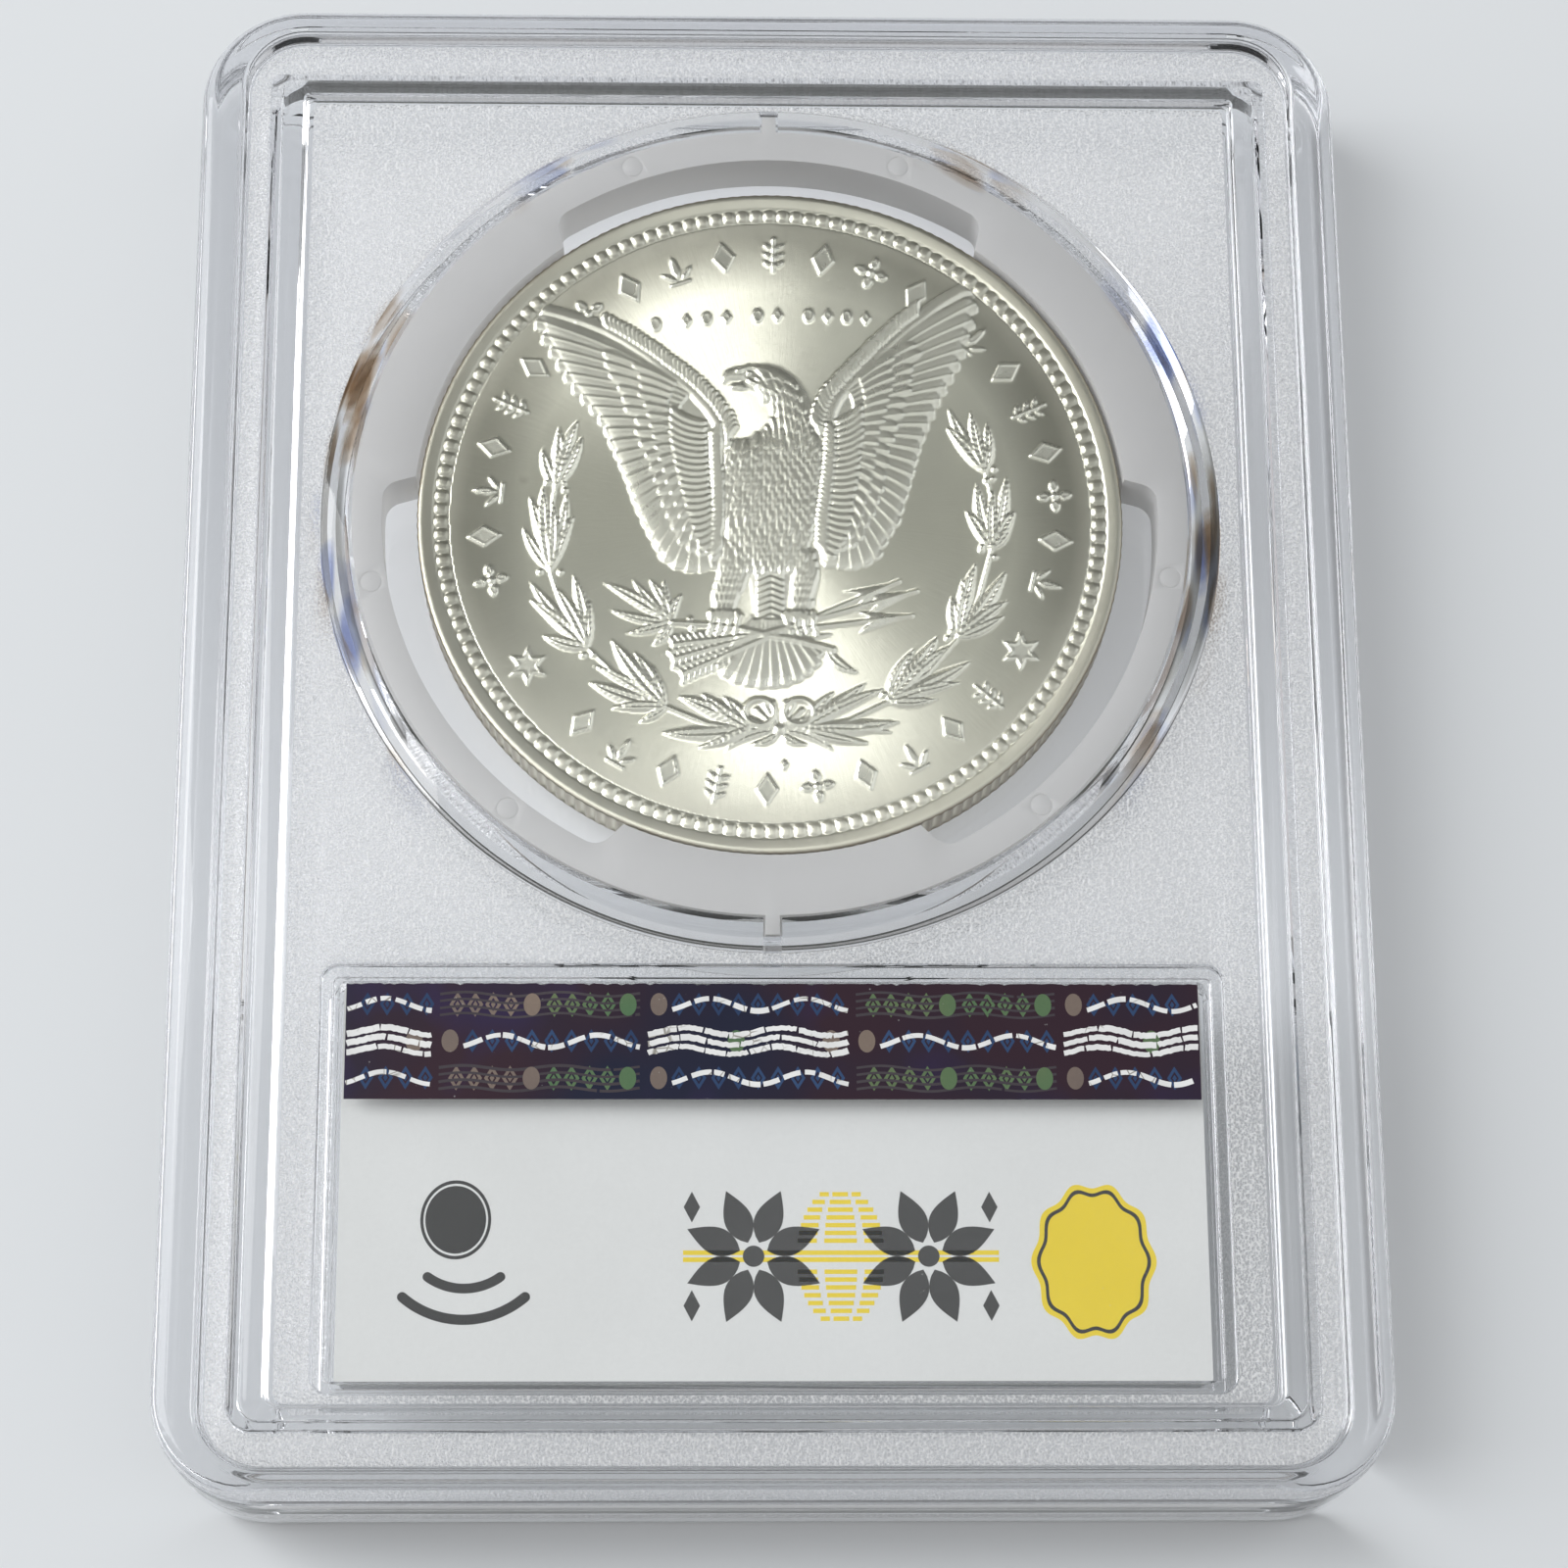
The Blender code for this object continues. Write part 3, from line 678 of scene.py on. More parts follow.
def build_insert():
    ring = place(prism([insert_outer(), insert_inner()], INSERT_LO, INSERT_HI, "coin_insert_satin"))
    # shallow rings in the upper face
    for degrees in PINS_AT:
        x, y = polar(21.75, degrees, COIN_CENTRE)
        pin = [ellipse(x, y, radius, 24) for radius in (0.62, 0.52)]
        boolean(ring, "DIFFERENCE", prism(pin, INSERT_HI - 0.04, INSERT_HI + 0.2))
    bevel = ring.modifiers.new("edges", "BEVEL")
    bevel.limit_method = "ANGLE"
    bevel.angle_limit = math.radians(50)
    bevel.width = 0.07 * MM
    bevel.segments = 2
    bevel.use_clamp_overlap = True
    bake_modifiers(ring)
    shade_smooth(ring.data, sharp_degrees=35)
    only_material(ring.data, insert_material())
    return ring


insert = build_insert()


# =============================================================================
# relief: heights above the coin's field, on a grid about the coin's own centre
# =============================================================================
random = np.random.default_rng(7)
FIELD = 5.045                 # height of the flat field; the rim stands higher


class Relief:
    """Two layers of heights: broad forms (`base`) and details (`fine`)."""

    def __init__(self, half_width, pitch):
        self.size = 2 * int(round(half_width / pitch)) + 1
        self.pitch = pitch
        self.axis = (np.arange(self.size) - self.size // 2) * pitch
        self.base = np.zeros((self.size, self.size))
        self.fine = np.zeros((self.size, self.size))

    def window(self, points, pad):
        """Part of the grid round some points, with its x and y."""
        xs, ys = zip(*points)
        x_lo, x_hi = np.searchsorted(self.axis, (min(xs) - pad, max(xs) + pad))
        y_lo, y_hi = np.searchsorted(self.axis, (min(ys) - pad, max(ys) + pad))
        area = (slice(y_lo, y_hi), slice(x_lo, x_hi))
        return area, self.axis[None, x_lo:x_hi], self.axis[y_lo:y_hi, None]

    def put(self, area, heights, layer=None):
        layer = self.fine if layer is None else layer
        layer[area] = np.maximum(layer[area], heights)

    def depth_in(self, points):
        """Window of a polygon and the depth of each grid point in it, negative outside."""
        area, x, y = self.window(points, 0.3)
        nearest = np.full((y.shape[0], x.shape[1]), 1e9)
        odd = np.zeros(nearest.shape, bool)
        for (x0, y0), (x1, y1) in zip(points, points[1:] + points[:1]):
            dx, dy = x1 - x0, y1 - y0
            t = np.clip(((x - x0) * dx + (y - y0) * dy) / (dx * dx + dy * dy + 1e-12), 0, 1)
            nearest = np.minimum(nearest, (x - x0 - t * dx) ** 2 + (y - y0 - t * dy) ** 2)
            if y0 != y1:
                odd ^= (y > min(y0, y1)) & (y <= max(y0, y1)) & (x < x0 + (y - y0) * dx / dy)
        distance = np.sqrt(nearest)
        return area, np.where(odd, distance, -distance)

    def depth_probe(self, points):
        """Function giving the depth of any one point in a polygon."""
        area, depth = self.depth_in(points)

        def probe(x, y):
            row = int(round(y / self.pitch)) + self.size // 2 - area[0].start
            column = int(round(x / self.pitch)) + self.size // 2 - area[1].start
            inside = 0 <= row < depth.shape[0] and 0 <= column < depth.shape[1]
            return depth[row, column] if inside else -1.0
        return probe

    def dome(self, points, height, edge, layer=None):
        """Polygon that rises in a quarter round over the width `edge`."""
        area, depth = self.depth_in(points)
        u = np.clip(depth / edge, 0, 1)
        heights = np.where(depth > 0, height * np.sqrt(1 - (1 - u) ** 2), 0)
        self.put(area, heights, self.base if layer is None else layer)

    def leaf(self, root, tip, width, height, bend=0.0, kind="leaf", lift=0.0, tip_lift=0.0):
        """A veined leaf, or a feather of kind "feather" or "round"; `width` is half its
        breadth and `bend` bows it sideways by that share of its length."""
        (x0, y0), (x1, y1) = root, tip
        length = math.hypot(x1 - x0, y1 - y0)
        area, x, y = self.window((root, tip), width + abs(bend) * length + 0.1)
        ux, uy = (x1 - x0) / length, (y1 - y0) / length
        s = ((x - x0) * ux + (y - y0) * uy) / length
        across = -(x - x0) * uy + (y - y0) * ux - bend * length * 4 * s * (1 - s)
        inner = np.clip(s, 1e-4, 1 - 1e-4)
        if kind == "leaf":
            half = np.maximum(width * np.sin(np.pi * inner ** 0.82) ** 0.85, 1e-4)
            u = np.abs(across) / half
            z = (1 - u ** 2.4) * (0.72 + 0.28 * np.sin(np.pi * np.clip(u, 0, 1)))
            z -= 0.42 * np.exp(-(across / 0.06) ** 2)
            veins = np.sin(2 * np.pi * (s * length - 1.1 * np.abs(across)) / 0.34)
            z += 0.10 * veins * (u < 0.9)
        else:
            end = 0.5 * width / length if kind == "feather" else min(1.4 * width / length, 0.6)
            taper = np.sqrt(np.clip(1 - (np.clip(inner - (1 - end), 0, None) / end) ** 2, 0, 1))
            half = width * np.minimum(1.0, 0.55 + 0.45 * inner / 0.25) * taper
            half = np.maximum(half, 1e-4)
            u = np.abs(across) / half
            z = np.sqrt(np.clip(1 - u ** 2.2, 0, 1)) * 0.8
            z = z + 0.35 * np.exp(-(across / 0.045) ** 2) + 0.25 * across / half
        inside = (s > 0) & (s < 1) & (u < 1)
        self.put(area, np.where(inside, lift + tip_lift * s + height * np.clip(z, 0, 1.4), 0))

    def tube(self, points, radius, height, lift=0.0, taper=1.0):
        """Half-round cord; `taper` is its last radius over its first."""
        area, x, y = self.window(points, radius + 0.1)
        heights = np.zeros((y.shape[0], x.shape[1]))
        for k, ((x0, y0), (x1, y1)) in enumerate(zip(points, points[1:])):
            dx, dy = x1 - x0, y1 - y0
            t = np.clip(((x - x0) * dx + (y - y0) * dy) / (dx * dx + dy * dy + 1e-12), 0, 1)
            away = np.hypot(x - x0 - t * dx, y - y0 - t * dy)
            r = radius * (1 + (taper - 1) * (k + t) / (len(points) - 1))
            rise = lift + height * np.sqrt(np.clip(1 - (away / r) ** 2, 0, 1))
            heights = np.maximum(heights, np.where(away < r, rise, 0))
        self.put(area, heights)

    def disc(self, centre, radius, height):
        self.tube([centre, (centre[0] + 1e-3, centre[1])], radius, height)

    def outline(self, points, width, height):
        """Flat-topped raised shape with a higher edge."""
        area, depth = self.depth_in(points)
        edge = 0.62 + 0.38 * np.exp(-((depth - width) / (0.45 * width)) ** 2)
        self.put(area, np.where(depth > 0, np.clip(depth / 0.10, 0, 1) * height * edge, 0))


# --- wings: lines of (x, y); lead and trail start at the wing's tip, wrist and root at the top
LEFT_WING = dict(
    lead=[(-12.86, 11.75), (-12.44, 12.12), (-11.58, 11.89), (-10.23, 11.49), (-8.88, 10.92),
          (-7.8, 10.28), (-6.72, 9.53), (-5.65, 8.66), (-4.84, 8.03), (-4.04, 7.28),
          (-3.23, 6.36), (-2.7, 5.5), (-2.45, 4.5)],
    trail=[(-12.86, 11.71), (-12.64, 10.95), (-12.09, 9.96), (-11.54, 8.92), (-10.89, 7.76),
           (-10.08, 6.78), (-9.1, 5.34), (-8.83, 4.48), (-8.29, 3.17), (-7.75, 1.74),
           (-7.37, 0.6), (-6.83, -0.64), (-6.3, -1.66), (-5.77, -2.62), (-5.08, -3.12),
           (-4.29, -3.29), (-3.5, -3.17), (-2.86, -3.05)],
    wrist=[(-4.95, 7.75), (-5.45, 6.6), (-5.40, 5.2), (-5.1, 3.47), (-4.75, 1.9), (-4.4, 0.62),
           (-3.87, -1.2), (-3.2, -1.9)],
    root=[(-2.70, 5.2), (-2.66, 3.6), (-2.62, 2.6), (-2.6, 1.2), (-2.6, -0.5), (-2.7, -1.9)],
)
RIGHT_WING = dict(
    lead=[(11.38, 13.0), (11.1, 13.51), (10.56, 13.39), (9.46, 12.73), (8.37, 11.85),
          (7.27, 10.96), (6.18, 9.9), (5.09, 8.73), (4.28, 7.85), (3.57, 6.98), (3.2, 6.2),
          (2.97, 5.2)],
    trail=[(11.41, 12.9), (11.17, 11.57), (10.88, 10.4), (10.31, 8.93), (9.7, 7.77),
           (9.09, 6.31), (8.53, 4.98), (8.08, 3.54), (7.79, 2.39), (7.4, 1.13), (7.12, 0.28),
           (6.85, -0.58), (6.14, -1.6), (5.76, -2.45), (4.96, -3.02), (4.27, -3.13),
           (3.64, -2.97), (2.75, -2.85)],
    wrist=[(4.75, 8.0), (5.05, 6.9), (5.06, 5.6), (4.9, 4.2), (4.77, 3.0), (4.5, 1.4),
           (4.2, -0.4), (3.4, -1.8)],
    root=[(2.95, 5.2), (2.92, 3.8), (2.7, 1.6), (2.45, -0.3), (2.4, -1.9)],
)


def draw_wing(relief, side, lead, trail, wrist, root):
    """One wing; `side` is -1 for the wing at -x."""
    edge = [between(point, point_at(wrist, share), 0.06)
            for point, share in zip(trail, shares(len(trail)))]
    relief.dome(edge + root[::-1] + lead[::-1], height=0.034, edge=0.9)
    # long flight feathers, fanned from the wrist line to the trailing edge
    for u in shares(25):
        tip = point_at(trail, 0.015 + 0.975 * u ** 0.93)
        start = between(point_at(wrist, u ** 1.25 * 0.97), tip, -0.10)
        relief.leaf(start, tip, width=0.50 if u > 0.25 else 0.60 - 0.3 * abs(u - 0.12),
                    height=0.043, bend=side * (0.035 - 0.02 * u), kind="feather",
                    tip_lift=0.006 + 0.0012 * math.dist(start, tip))
    # coverts over their roots in two ranks: share of the feather, half breadth, count, height
    for share, width, count, height in ((0.52, 0.40, 19, 0.058), (0.30, 0.34, 18, 0.067)):
        for step in shares(count):
            u = 0.02 + 0.93 * step
            far = point_at(trail, u ** 0.93)
            stem = point_at(wrist, u ** 1.25 * 0.97)
            tip = between(stem, far, share * (0.93 + 0.14 * random.random()))
            relief.leaf(between(stem, far, 0.02), tip, width, height * 0.6, bend=side * 0.03,
                        kind="round", lift=height * 0.42, tip_lift=0.012)
    # ladder of short feathers between the wrist line and the body
    for u in shares(22):
        start = point_at(root, 0.02 + 0.93 * u)
        x, y = point_at(wrist, min(1.0, 0.10 + 0.90 * u))
        end = (x, y - 0.55)
        relief.leaf(between(start, end, 0.30), between(start, end, 1.02), width=0.25, height=0.036,
                    bend=-side * 0.10, kind="round", lift=0.036, tip_lift=0.014)
    for u in shares(26):
        x, y = point_at(root, 0.97 * u)
        relief.leaf((x + side * 0.02, y + 0.25), (x + side * 0.55, y - 0.45),
                    width=0.20, height=0.04, bend=0.1, kind="round", lift=0.052)
    # rounded leading edge, with scales laid outward across it
    relief.tube(lead[1:], radius=0.34, height=0.062, taper=1.5)
    for step in shares(34):
        u = 0.30 + 0.68 * step
        x, y = point_at(lead, u)
        ahead = point_at(lead, min(u + 0.03, 1.0))
        length = math.dist((x, y), ahead)
        fx, fy = (ahead[0] - x) / length, (ahead[1] - y) / length
        nx, ny = fy * side, -fx * side
        relief.leaf((x + nx * 0.1 + fx * 0.3, y + ny * 0.1 + fy * 0.3),
                    (x + nx * 0.85 - fx * 0.35, y + ny * 0.85 - fy * 0.35),
                    width=0.21, height=0.045, bend=0.08, kind="round", lift=0.045, tip_lift=0.010)


# --- tail, legs, body and head: outlines of (x, y)
TAIL_END = [(-2.99, -8.6), (-2.66, -9.1), (-2.0, -9.5), (-1.27, -9.75), (-0.5, -9.86),
            (0.3, -9.83), (1.1, -9.65), (1.85, -9.25), (2.5, -8.6), (2.72, -7.95)]
# each leg's outline and the place of its foot
LEGS = (
    ([(-2.75, -1.2), (-2.9, -3.2), (-3.25, -4.6), (-3.15, -5.9), (-2.1, -6.1), (-1.6, -4.6),
      (-1.15, -3.2), (-1.1, -1.6)], (-2.6, -5.9)),
    ([(1.2, -1.6), (1.15, -3.2), (1.0, -4.8), (0.98, -6.0), (1.75, -5.9), (2.35, -4.9),
      (2.62, -3.6), (2.6, -1.8)], (1.4, -5.9)),
)
BODY = [
    (-2.4, 4.5), (-2.65, 2.8), (-2.66, 0.8), (-2.55, -1.0), (-1.9, -2.4), (-1.2, -3.4),
    (-0.98, -5.0), (-0.92, -6.6), (0.85, -6.6), (0.88, -5.0), (1.05, -3.4), (1.8, -2.4),
    (2.35, -1.0), (2.55, 1.2), (2.88, 3.4), (2.95, 5.1), (2.55, 6.2), (2.05, 7.3), (1.4, 8.2),
    (0.65, 8.72), (-0.02, 8.94), (-0.9, 8.95), (-1.5, 8.85), (-1.72, 8.3), (-1.5, 7.5),
    (-0.55, 7.1), (-0.02, 6.67), (0.22, 6.1), (-0.15, 5.4), (-0.85, 4.75), (-1.7, 4.5),
]
UPPER_BEAK = [(-1.4, 8.80), (-1.95, 8.72), (-2.42, 8.52), (-2.62, 8.18), (-2.66, 7.82),
              (-2.52, 7.66), (-2.36, 7.86), (-2.15, 7.98), (-1.7, 7.95), (-1.35, 8.0)]
LOWER_BEAK = [(-1.5, 7.88), (-2.0, 7.80), (-2.24, 7.62), (-2.12, 7.40), (-1.6, 7.32),
              (-1.2, 7.40)]


def draw_tail_and_legs(relief):
    relief.dome([(-1.1, -5.6)] + TAIL_END + [(1.0, -5.6)], height=0.05, edge=0.8)
    for share in shares(11):
        tip = point_at(TAIL_END, share)
        relief.leaf((-0.08 + (tip[0] + 0.08) * 0.25, -5.9), tip, width=0.33, height=0.038,
                    kind="feather", tip_lift=0.02)
    for outline, foot in LEGS:
        relief.dome(outline, height=0.062, edge=0.7)
        depth_at = relief.depth_probe(outline)
        xs, ys = zip(*outline)
        for row, y in enumerate(np.linspace(max(ys) - 0.2, foot[1] + 0.5, 9)):
            for x in np.arange(min(xs) + 0.2 + 0.14 * (row % 2), max(xs) - 0.1, 0.30):
                if depth_at(x, y) > 0.05:
                    end = between((x, y), foot, 0.22 + 0.03 * random.random())
                    relief.leaf((x, y + 0.2), (end[0], min(end[1], y - 0.55)), width=0.19,
                                height=0.03, kind="round", tip_lift=0.014)


def draw_body(relief):
    relief.dome(BODY, height=0.072, edge=1.5)
    depth_at = relief.depth_probe(BODY)
    for row in range(21):
        for column_x in np.arange(-2.5 + 0.22 * (row % 2), 2.8, 0.44):
            x = column_x + 0.10 * (random.random() - 0.5)
            y = 4.6 - 0.36 * row + 0.10 * (random.random() - 0.5)
            if depth_at(x, y) > 0.12:
                lean = 0.16 * (x - 0.1) / 2.5 - 0.22 * x / 2.5 * (y < 0)
                tip = (x + lean + 0.10 * (random.random() - 0.5),
                       y - 0.60 - 0.15 * random.random())
                relief.leaf((x - lean * 0.4, y + 0.28), tip, width=0.235, height=0.034,
                            bend=0.05 * (random.random() - 0.5), kind="round", tip_lift=0.022)
    # hackles of the neck, swept back from the face
    for down in shares(7):
        for u in shares(9):
            x = -0.75 + 2.9 * u * (0.55 + 0.45 * down) + 0.25 * down
            x += 0.12 * (random.random() - 0.5)
            y = 8.55 - 1.0 * u * u - 3.4 * down + 0.5 * u * (1 - down)
            if depth_at(x, y) > 0.06:
                tip = (x + 0.55 * (1 - down) + 0.12 * (u - 0.4), y - 0.62 - 0.55 * down)
                relief.leaf((x - 0.1, y + 0.15), tip, width=0.17, height=0.032, bend=0.09,
                            kind="round", tip_lift=0.022)
    # plain chevrons under the belly
    area, x, y = relief.window([(-0.8, -6.6), (0.75, -3.0)], 0.0)
    chevrons = 0.013 * np.sin(2 * np.pi * (y + 0.42 * np.abs(x)) / 0.36)
    groove = 0.014 * np.exp(-(x / 0.09) ** 2)
    relief.put(area, np.where(np.abs(x + 0.02) < 0.72, 0.016 + chevrons - groove, 0))


def draw_head(relief):
    """Beak with a hooked tip, brow, eye and the small feathers beside them."""
    relief.dome(UPPER_BEAK, height=0.10, edge=0.28)
    relief.dome(LOWER_BEAK, height=0.08, edge=0.22)
    relief.tube([(-1.1, 8.72), (-1.45, 8.62), (-1.75, 8.50)], radius=0.11, height=0.045)
    relief.disc((-1.16, 8.38), radius=0.13, height=0.055)
    for k in range(6):
        relief.leaf((-1.25 + 0.1 * k, 8.0 - 0.05 * k), (-0.45 + 0.18 * k, 7.62 - 0.10 * k),
                    width=0.12, height=0.034, bend=-0.05, kind="round", tip_lift=0.02)
    for k in range(8):
        relief.leaf((-1.35 + 0.26 * k, 8.78 - 0.02 * k * k),
                    (-0.75 + 0.30 * k, 8.66 - 0.035 * k * k),
                    width=0.12, height=0.030, bend=0.06, kind="round", tip_lift=0.022)


# --- arrows, branch and feet
# tail and point of each arrow
ARROWS = (((-5.25, -7.35), (7.57, -5.65)), ((-5.20, -8.15), (7.85, -4.24)),
          ((-4.75, -9.00), (6.91, -3.69)))
ARROW_HEAD = [(0, 0), (-3.0, 0.68), (-2.45, 0.16), (-2.45, -0.16), (-3.0, -0.68)]
BRANCH = [(-5.3, -6.12), (-3.5, -6.2), (-1.8, -6.42), (-0.24, -6.82), (1.2, -7.05),
          (2.28, -7.3), (3.3, -7.6)]
# leaves at the branch's -x end: tip, half breadth, bend
BRANCH_LEAVES = (
    ((-9.03, -3.81), 0.42, -0.03), ((-7.45, -3.60), 0.36, 0.03), ((-8.70, -5.35), 0.30, 0.05),
    ((-7.75, -6.75), 0.34, 0.02), ((-6.38, -7.45), 0.36, 0.08), ((-6.55, -3.55), 0.38, -0.05),
    ((-5.70, -3.55), 0.36, 0.06), ((-4.71, -4.40), 0.34, 0.12),
)


def draw_arrows_and_branch(relief):
    for tail, point in ARROWS:
        angle = math.degrees(math.atan2(point[1] - tail[1], point[0] - tail[0]))
        relief.tube([tail, point], radius=0.13, height=0.075)
        relief.dome(turned(point, angle, ARROW_HEAD), height=0.075, edge=0.30, layer=relief.fine)
        relief.tube([point] + turned(point, angle, [(-2.6, 0)]), radius=0.07, height=0.02,
                    lift=0.072)
        for side in (1, -1):
            for k in range(9):
                barb = [(0.12 + 0.34 * k, 0.04 * side), (-0.12 + 0.34 * k, 0.46 * side)]
                relief.tube(turned(tail, angle, barb), radius=0.15, height=0.055)
    relief.tube(BRANCH, radius=0.17, height=0.095, taper=1.2)
    for tip, width, bend in BRANCH_LEAVES:
        relief.leaf((-5.3, -6.08), tip, width, height=0.072, bend=bend)
    relief.leaf((2.9, -7.45), (4.66, -8.92), width=0.34, height=0.075, bend=-0.12)
    relief.leaf((2.0, -7.2), (3.4, -6.75), width=0.16, height=0.06, bend=0.1)
    for berry in ((-4.35, -5.92), (-4.2, -6.45)):
        relief.disc(berry, radius=0.20, height=0.09)


def draw_feet(relief):
    y = -6.15
    for foot_x, way in ((-2.5, 1), (1.6, -1)):
        for k in range(4):
            x = foot_x + 0.46 * (k - 1.5)
            toe = [(x + 0.1 * way, y + 0.42), (x + 0.02, y + 0.12), (x - 0.03 * way, y - 0.25),
                   (x - 0.16 * way, y - 0.55)]
            relief.tube(toe, radius=0.21, height=0.135, taper=0.45)
        for k in range(5):
            x = foot_x - 0.7 + 0.34 * k
            relief.tube([(x, y + 0.62), (x + 0.05, y + 0.30)], radius=0.19, height=0.125)


# --- wreath: root of each cluster, then its leaves as (tip x, tip y, half breadth)
CLUSTERS = (
    ((-1.1, -12.06), (
        (-5.80, -12.32, 0.52), (-4.96, -10.26, 0.50), (-3.7, -10.10, 0.46),
        (-2.5, -10.30, 0.40), (-3.85, -13.15, 0.30), (-3.0, -12.9, 0.26))),
    ((-5.58, -10.86), (
        (-9.76, -9.45, 0.55), (-9.46, -8.55, 0.36), (-8.53, -7.05, 0.60), (-7.32, -7.75, 0.44),
        (-6.38, -8.42, 0.34), (-8.50, -10.95, 0.34), (-7.04, -11.72, 0.28))),
    ((-9.79, -7.56), (
        (-12.92, -3.75, 0.50), (-12.95, -4.80, 0.46), (-12.21, -6.88, 0.40),
        (-10.56, -3.42, 0.50), (-9.71, -4.84, 0.40), (-11.7, -3.9, 0.44))),
    ((-11.83, -3.21), (
        (-13.36, -0.62, 0.36), (-13.02, 1.18, 0.46), (-12.26, 1.76, 0.48),
        (-10.98, 1.36, 0.40), (-10.58, 0.02, 0.38), (-11.75, 0.9, 0.40))),
    ((-11.62, 1.61), (
        (-12.36, 3.92, 0.38), (-11.45, 5.14, 0.46), (-10.45, 5.55, 0.46),
        (-10.18, 4.60, 0.40), (-11.0, 4.2, 0.36))),
    ((11.69, 2.58), (
        (9.70, 6.48, 0.46), (9.57, 5.28, 0.52), (10.96, 6.18, 0.42), (11.83, 5.55, 0.40),
        (12.1, 4.5, 0.28))),
    ((11.92, -1.86), (
        (11.2, 2.06, 0.52), (12.83, 2.40, 0.46), (13.27, 0.42, 0.48), (10.55, 0.41, 0.44),
        (12.1, 1.6, 0.40), (13.0, -0.6, 0.28))),
    ((10.02, -6.92), (
        (9.75, -4.48, 0.40), (10.35, -3.50, 0.44), (11.06, -2.66, 0.48), (12.71, -3.06, 0.50),
        (12.75, -4.79, 0.44), (12.57, -5.63, 0.36))),
    ((6.18, -10.55), (
        (7.64, -7.55, 0.46), (8.95, -6.82, 0.62), (9.6, -7.3, 0.4), (10.72, -8.22, 0.50),
        (10.14, -9.45, 0.38), (8.81, -10.40, 0.32))),
    ((1.57, -12.05), (
        (3.36, -9.96, 0.38), (4.99, -9.50, 0.52), (6.06, -9.80, 0.40), (6.80, -11.65, 0.52),
        (6.37, -12.24, 0.34), (5.21, -12.86, 0.32))),
)
STEMS = (
    [(-1.1, -12.06), (-3.4, -11.8), (-5.58, -10.86), (-8.0, -9.3), (-9.79, -7.56),
     (-11.1, -5.5), (-11.83, -3.21), (-12.0, -0.8), (-11.62, 1.61), (-11.45, 3.8)],
    [(1.57, -12.05), (4.1, -11.6), (6.18, -10.55), (8.4, -8.9), (10.02, -6.92), (11.2, -4.6),
     (11.92, -1.86), (12.1, 0.6), (11.69, 2.58), (11.1, 4.8)],
)
BOW_X = 0.42


def draw_wreath(relief):
    for root, leaves in CLUSTERS:
        for k, (x, y, width) in enumerate(leaves):
            relief.leaf(root, (x, y), width, height=0.085 + 0.008 * (k % 3),
                        bend=0.03 * (-1) ** k, lift=0.004 * k)
        for _ in range(3):
            angle = random.random() * 6.28
            berry = (root[0] + 0.55 * math.cos(angle), root[1] + 0.45 * math.sin(angle))
            relief.disc(berry, radius=0.19, height=0.085)
    for stem in STEMS:
        relief.tube(stem, radius=0.13, height=0.07, taper=0.7)


def draw_bow(relief):
    for way in (-1, 1):
        x, y = BOW_X + way * 1.05, -11.15
        loop = [(x + 0.80 * math.cos(math.radians(t)), y + 0.72 * math.sin(math.radians(t)))
                for t in range(-110, 251, 15)]
        relief.tube(loop, radius=0.17, height=0.10)
        for k in range(4):
            fold = [(BOW_X + way * 0.12, -12.05),
                    (BOW_X + way * (0.35 + 0.42 * k), -10.62 - 0.10 * k * k)]
            relief.tube(fold, radius=0.10, height=0.07, taper=1.7)
        relief.leaf((BOW_X, -12.15), (BOW_X + way * 2.9, -13.35), width=0.34, height=0.075,
                    bend=way * 0.12)
        relief.leaf((BOW_X, -12.2), (BOW_X + way * 1.5, -12.95), width=0.26, height=0.085,
                    bend=-way * 0.12)
    relief.disc((BOW_X, -12.12), radius=0.30, height=0.12)


# --- ornaments
PETAL = [(0.12, 0), (0.45, 0.30), (0.80, 0.22), (1.0, 0), (0.80, -0.22), (0.45, -0.30)]
LOZENGE = [(0.66, 0), (0, 1.02), (-0.66, 0), (0, -1.02)]
FROND = [(0.1, 0), (0.55, 0.21), (1.1, 0.17), (1.45, 0), (1.1, -0.17), (0.55, -0.21)]
FROND_FOOT = [(-0.62, -0.98), (0.62, -0.98), (0.62, -0.76), (-0.62, -0.76)]
ORNAMENT_R = 15.45


def flower(relief, centre, angle, size):
    for k in range(4):
        relief.outline(turned(centre, angle + 90 * k, PETAL, size), width=0.09, height=0.062)
    relief.disc(centre, radius=0.24 * size, height=0.075)


def lozenge(relief, centre, angle, size):
    relief.outline(turned(centre, angle, LOZENGE, size), width=0.10, height=0.062)


def palmette(relief, centre, angle, size):
    foot = turned(centre, angle, [(0, -0.85)], size)[0]
    for spread, length in ((-48, 0.86), (0, 1.15), (48, 0.86)):
        relief.outline(turned(foot, angle + 90 + spread, FROND, size * length),
                       width=0.09, height=0.062)
    relief.outline(turned(centre, angle, FROND_FOOT, size), width=0.08, height=0.06)


def sprig(relief, centre, angle, size):
    relief.tube(turned(centre, angle, [(0, -0.95), (0, 0.95)], size), radius=0.10, height=0.06)
    for k in range(3):
        for side in (-1, 1):
            leaf = [(0, -0.75 + 0.5 * k), (0.62 * side, -0.35 + 0.5 * k)]
            relief.leaf(*turned(centre, angle, leaf, size), width=0.17 * size, height=0.058)


def star(relief, centre, angle, outer, inner, width, height):
    points = [polar(inner if k % 2 else outer, angle + 30 * k, centre) for k in range(12)]
    relief.outline(points, width, height)


MOTIFS = (flower, lozenge, palmette, lozenge, sprig, lozenge)


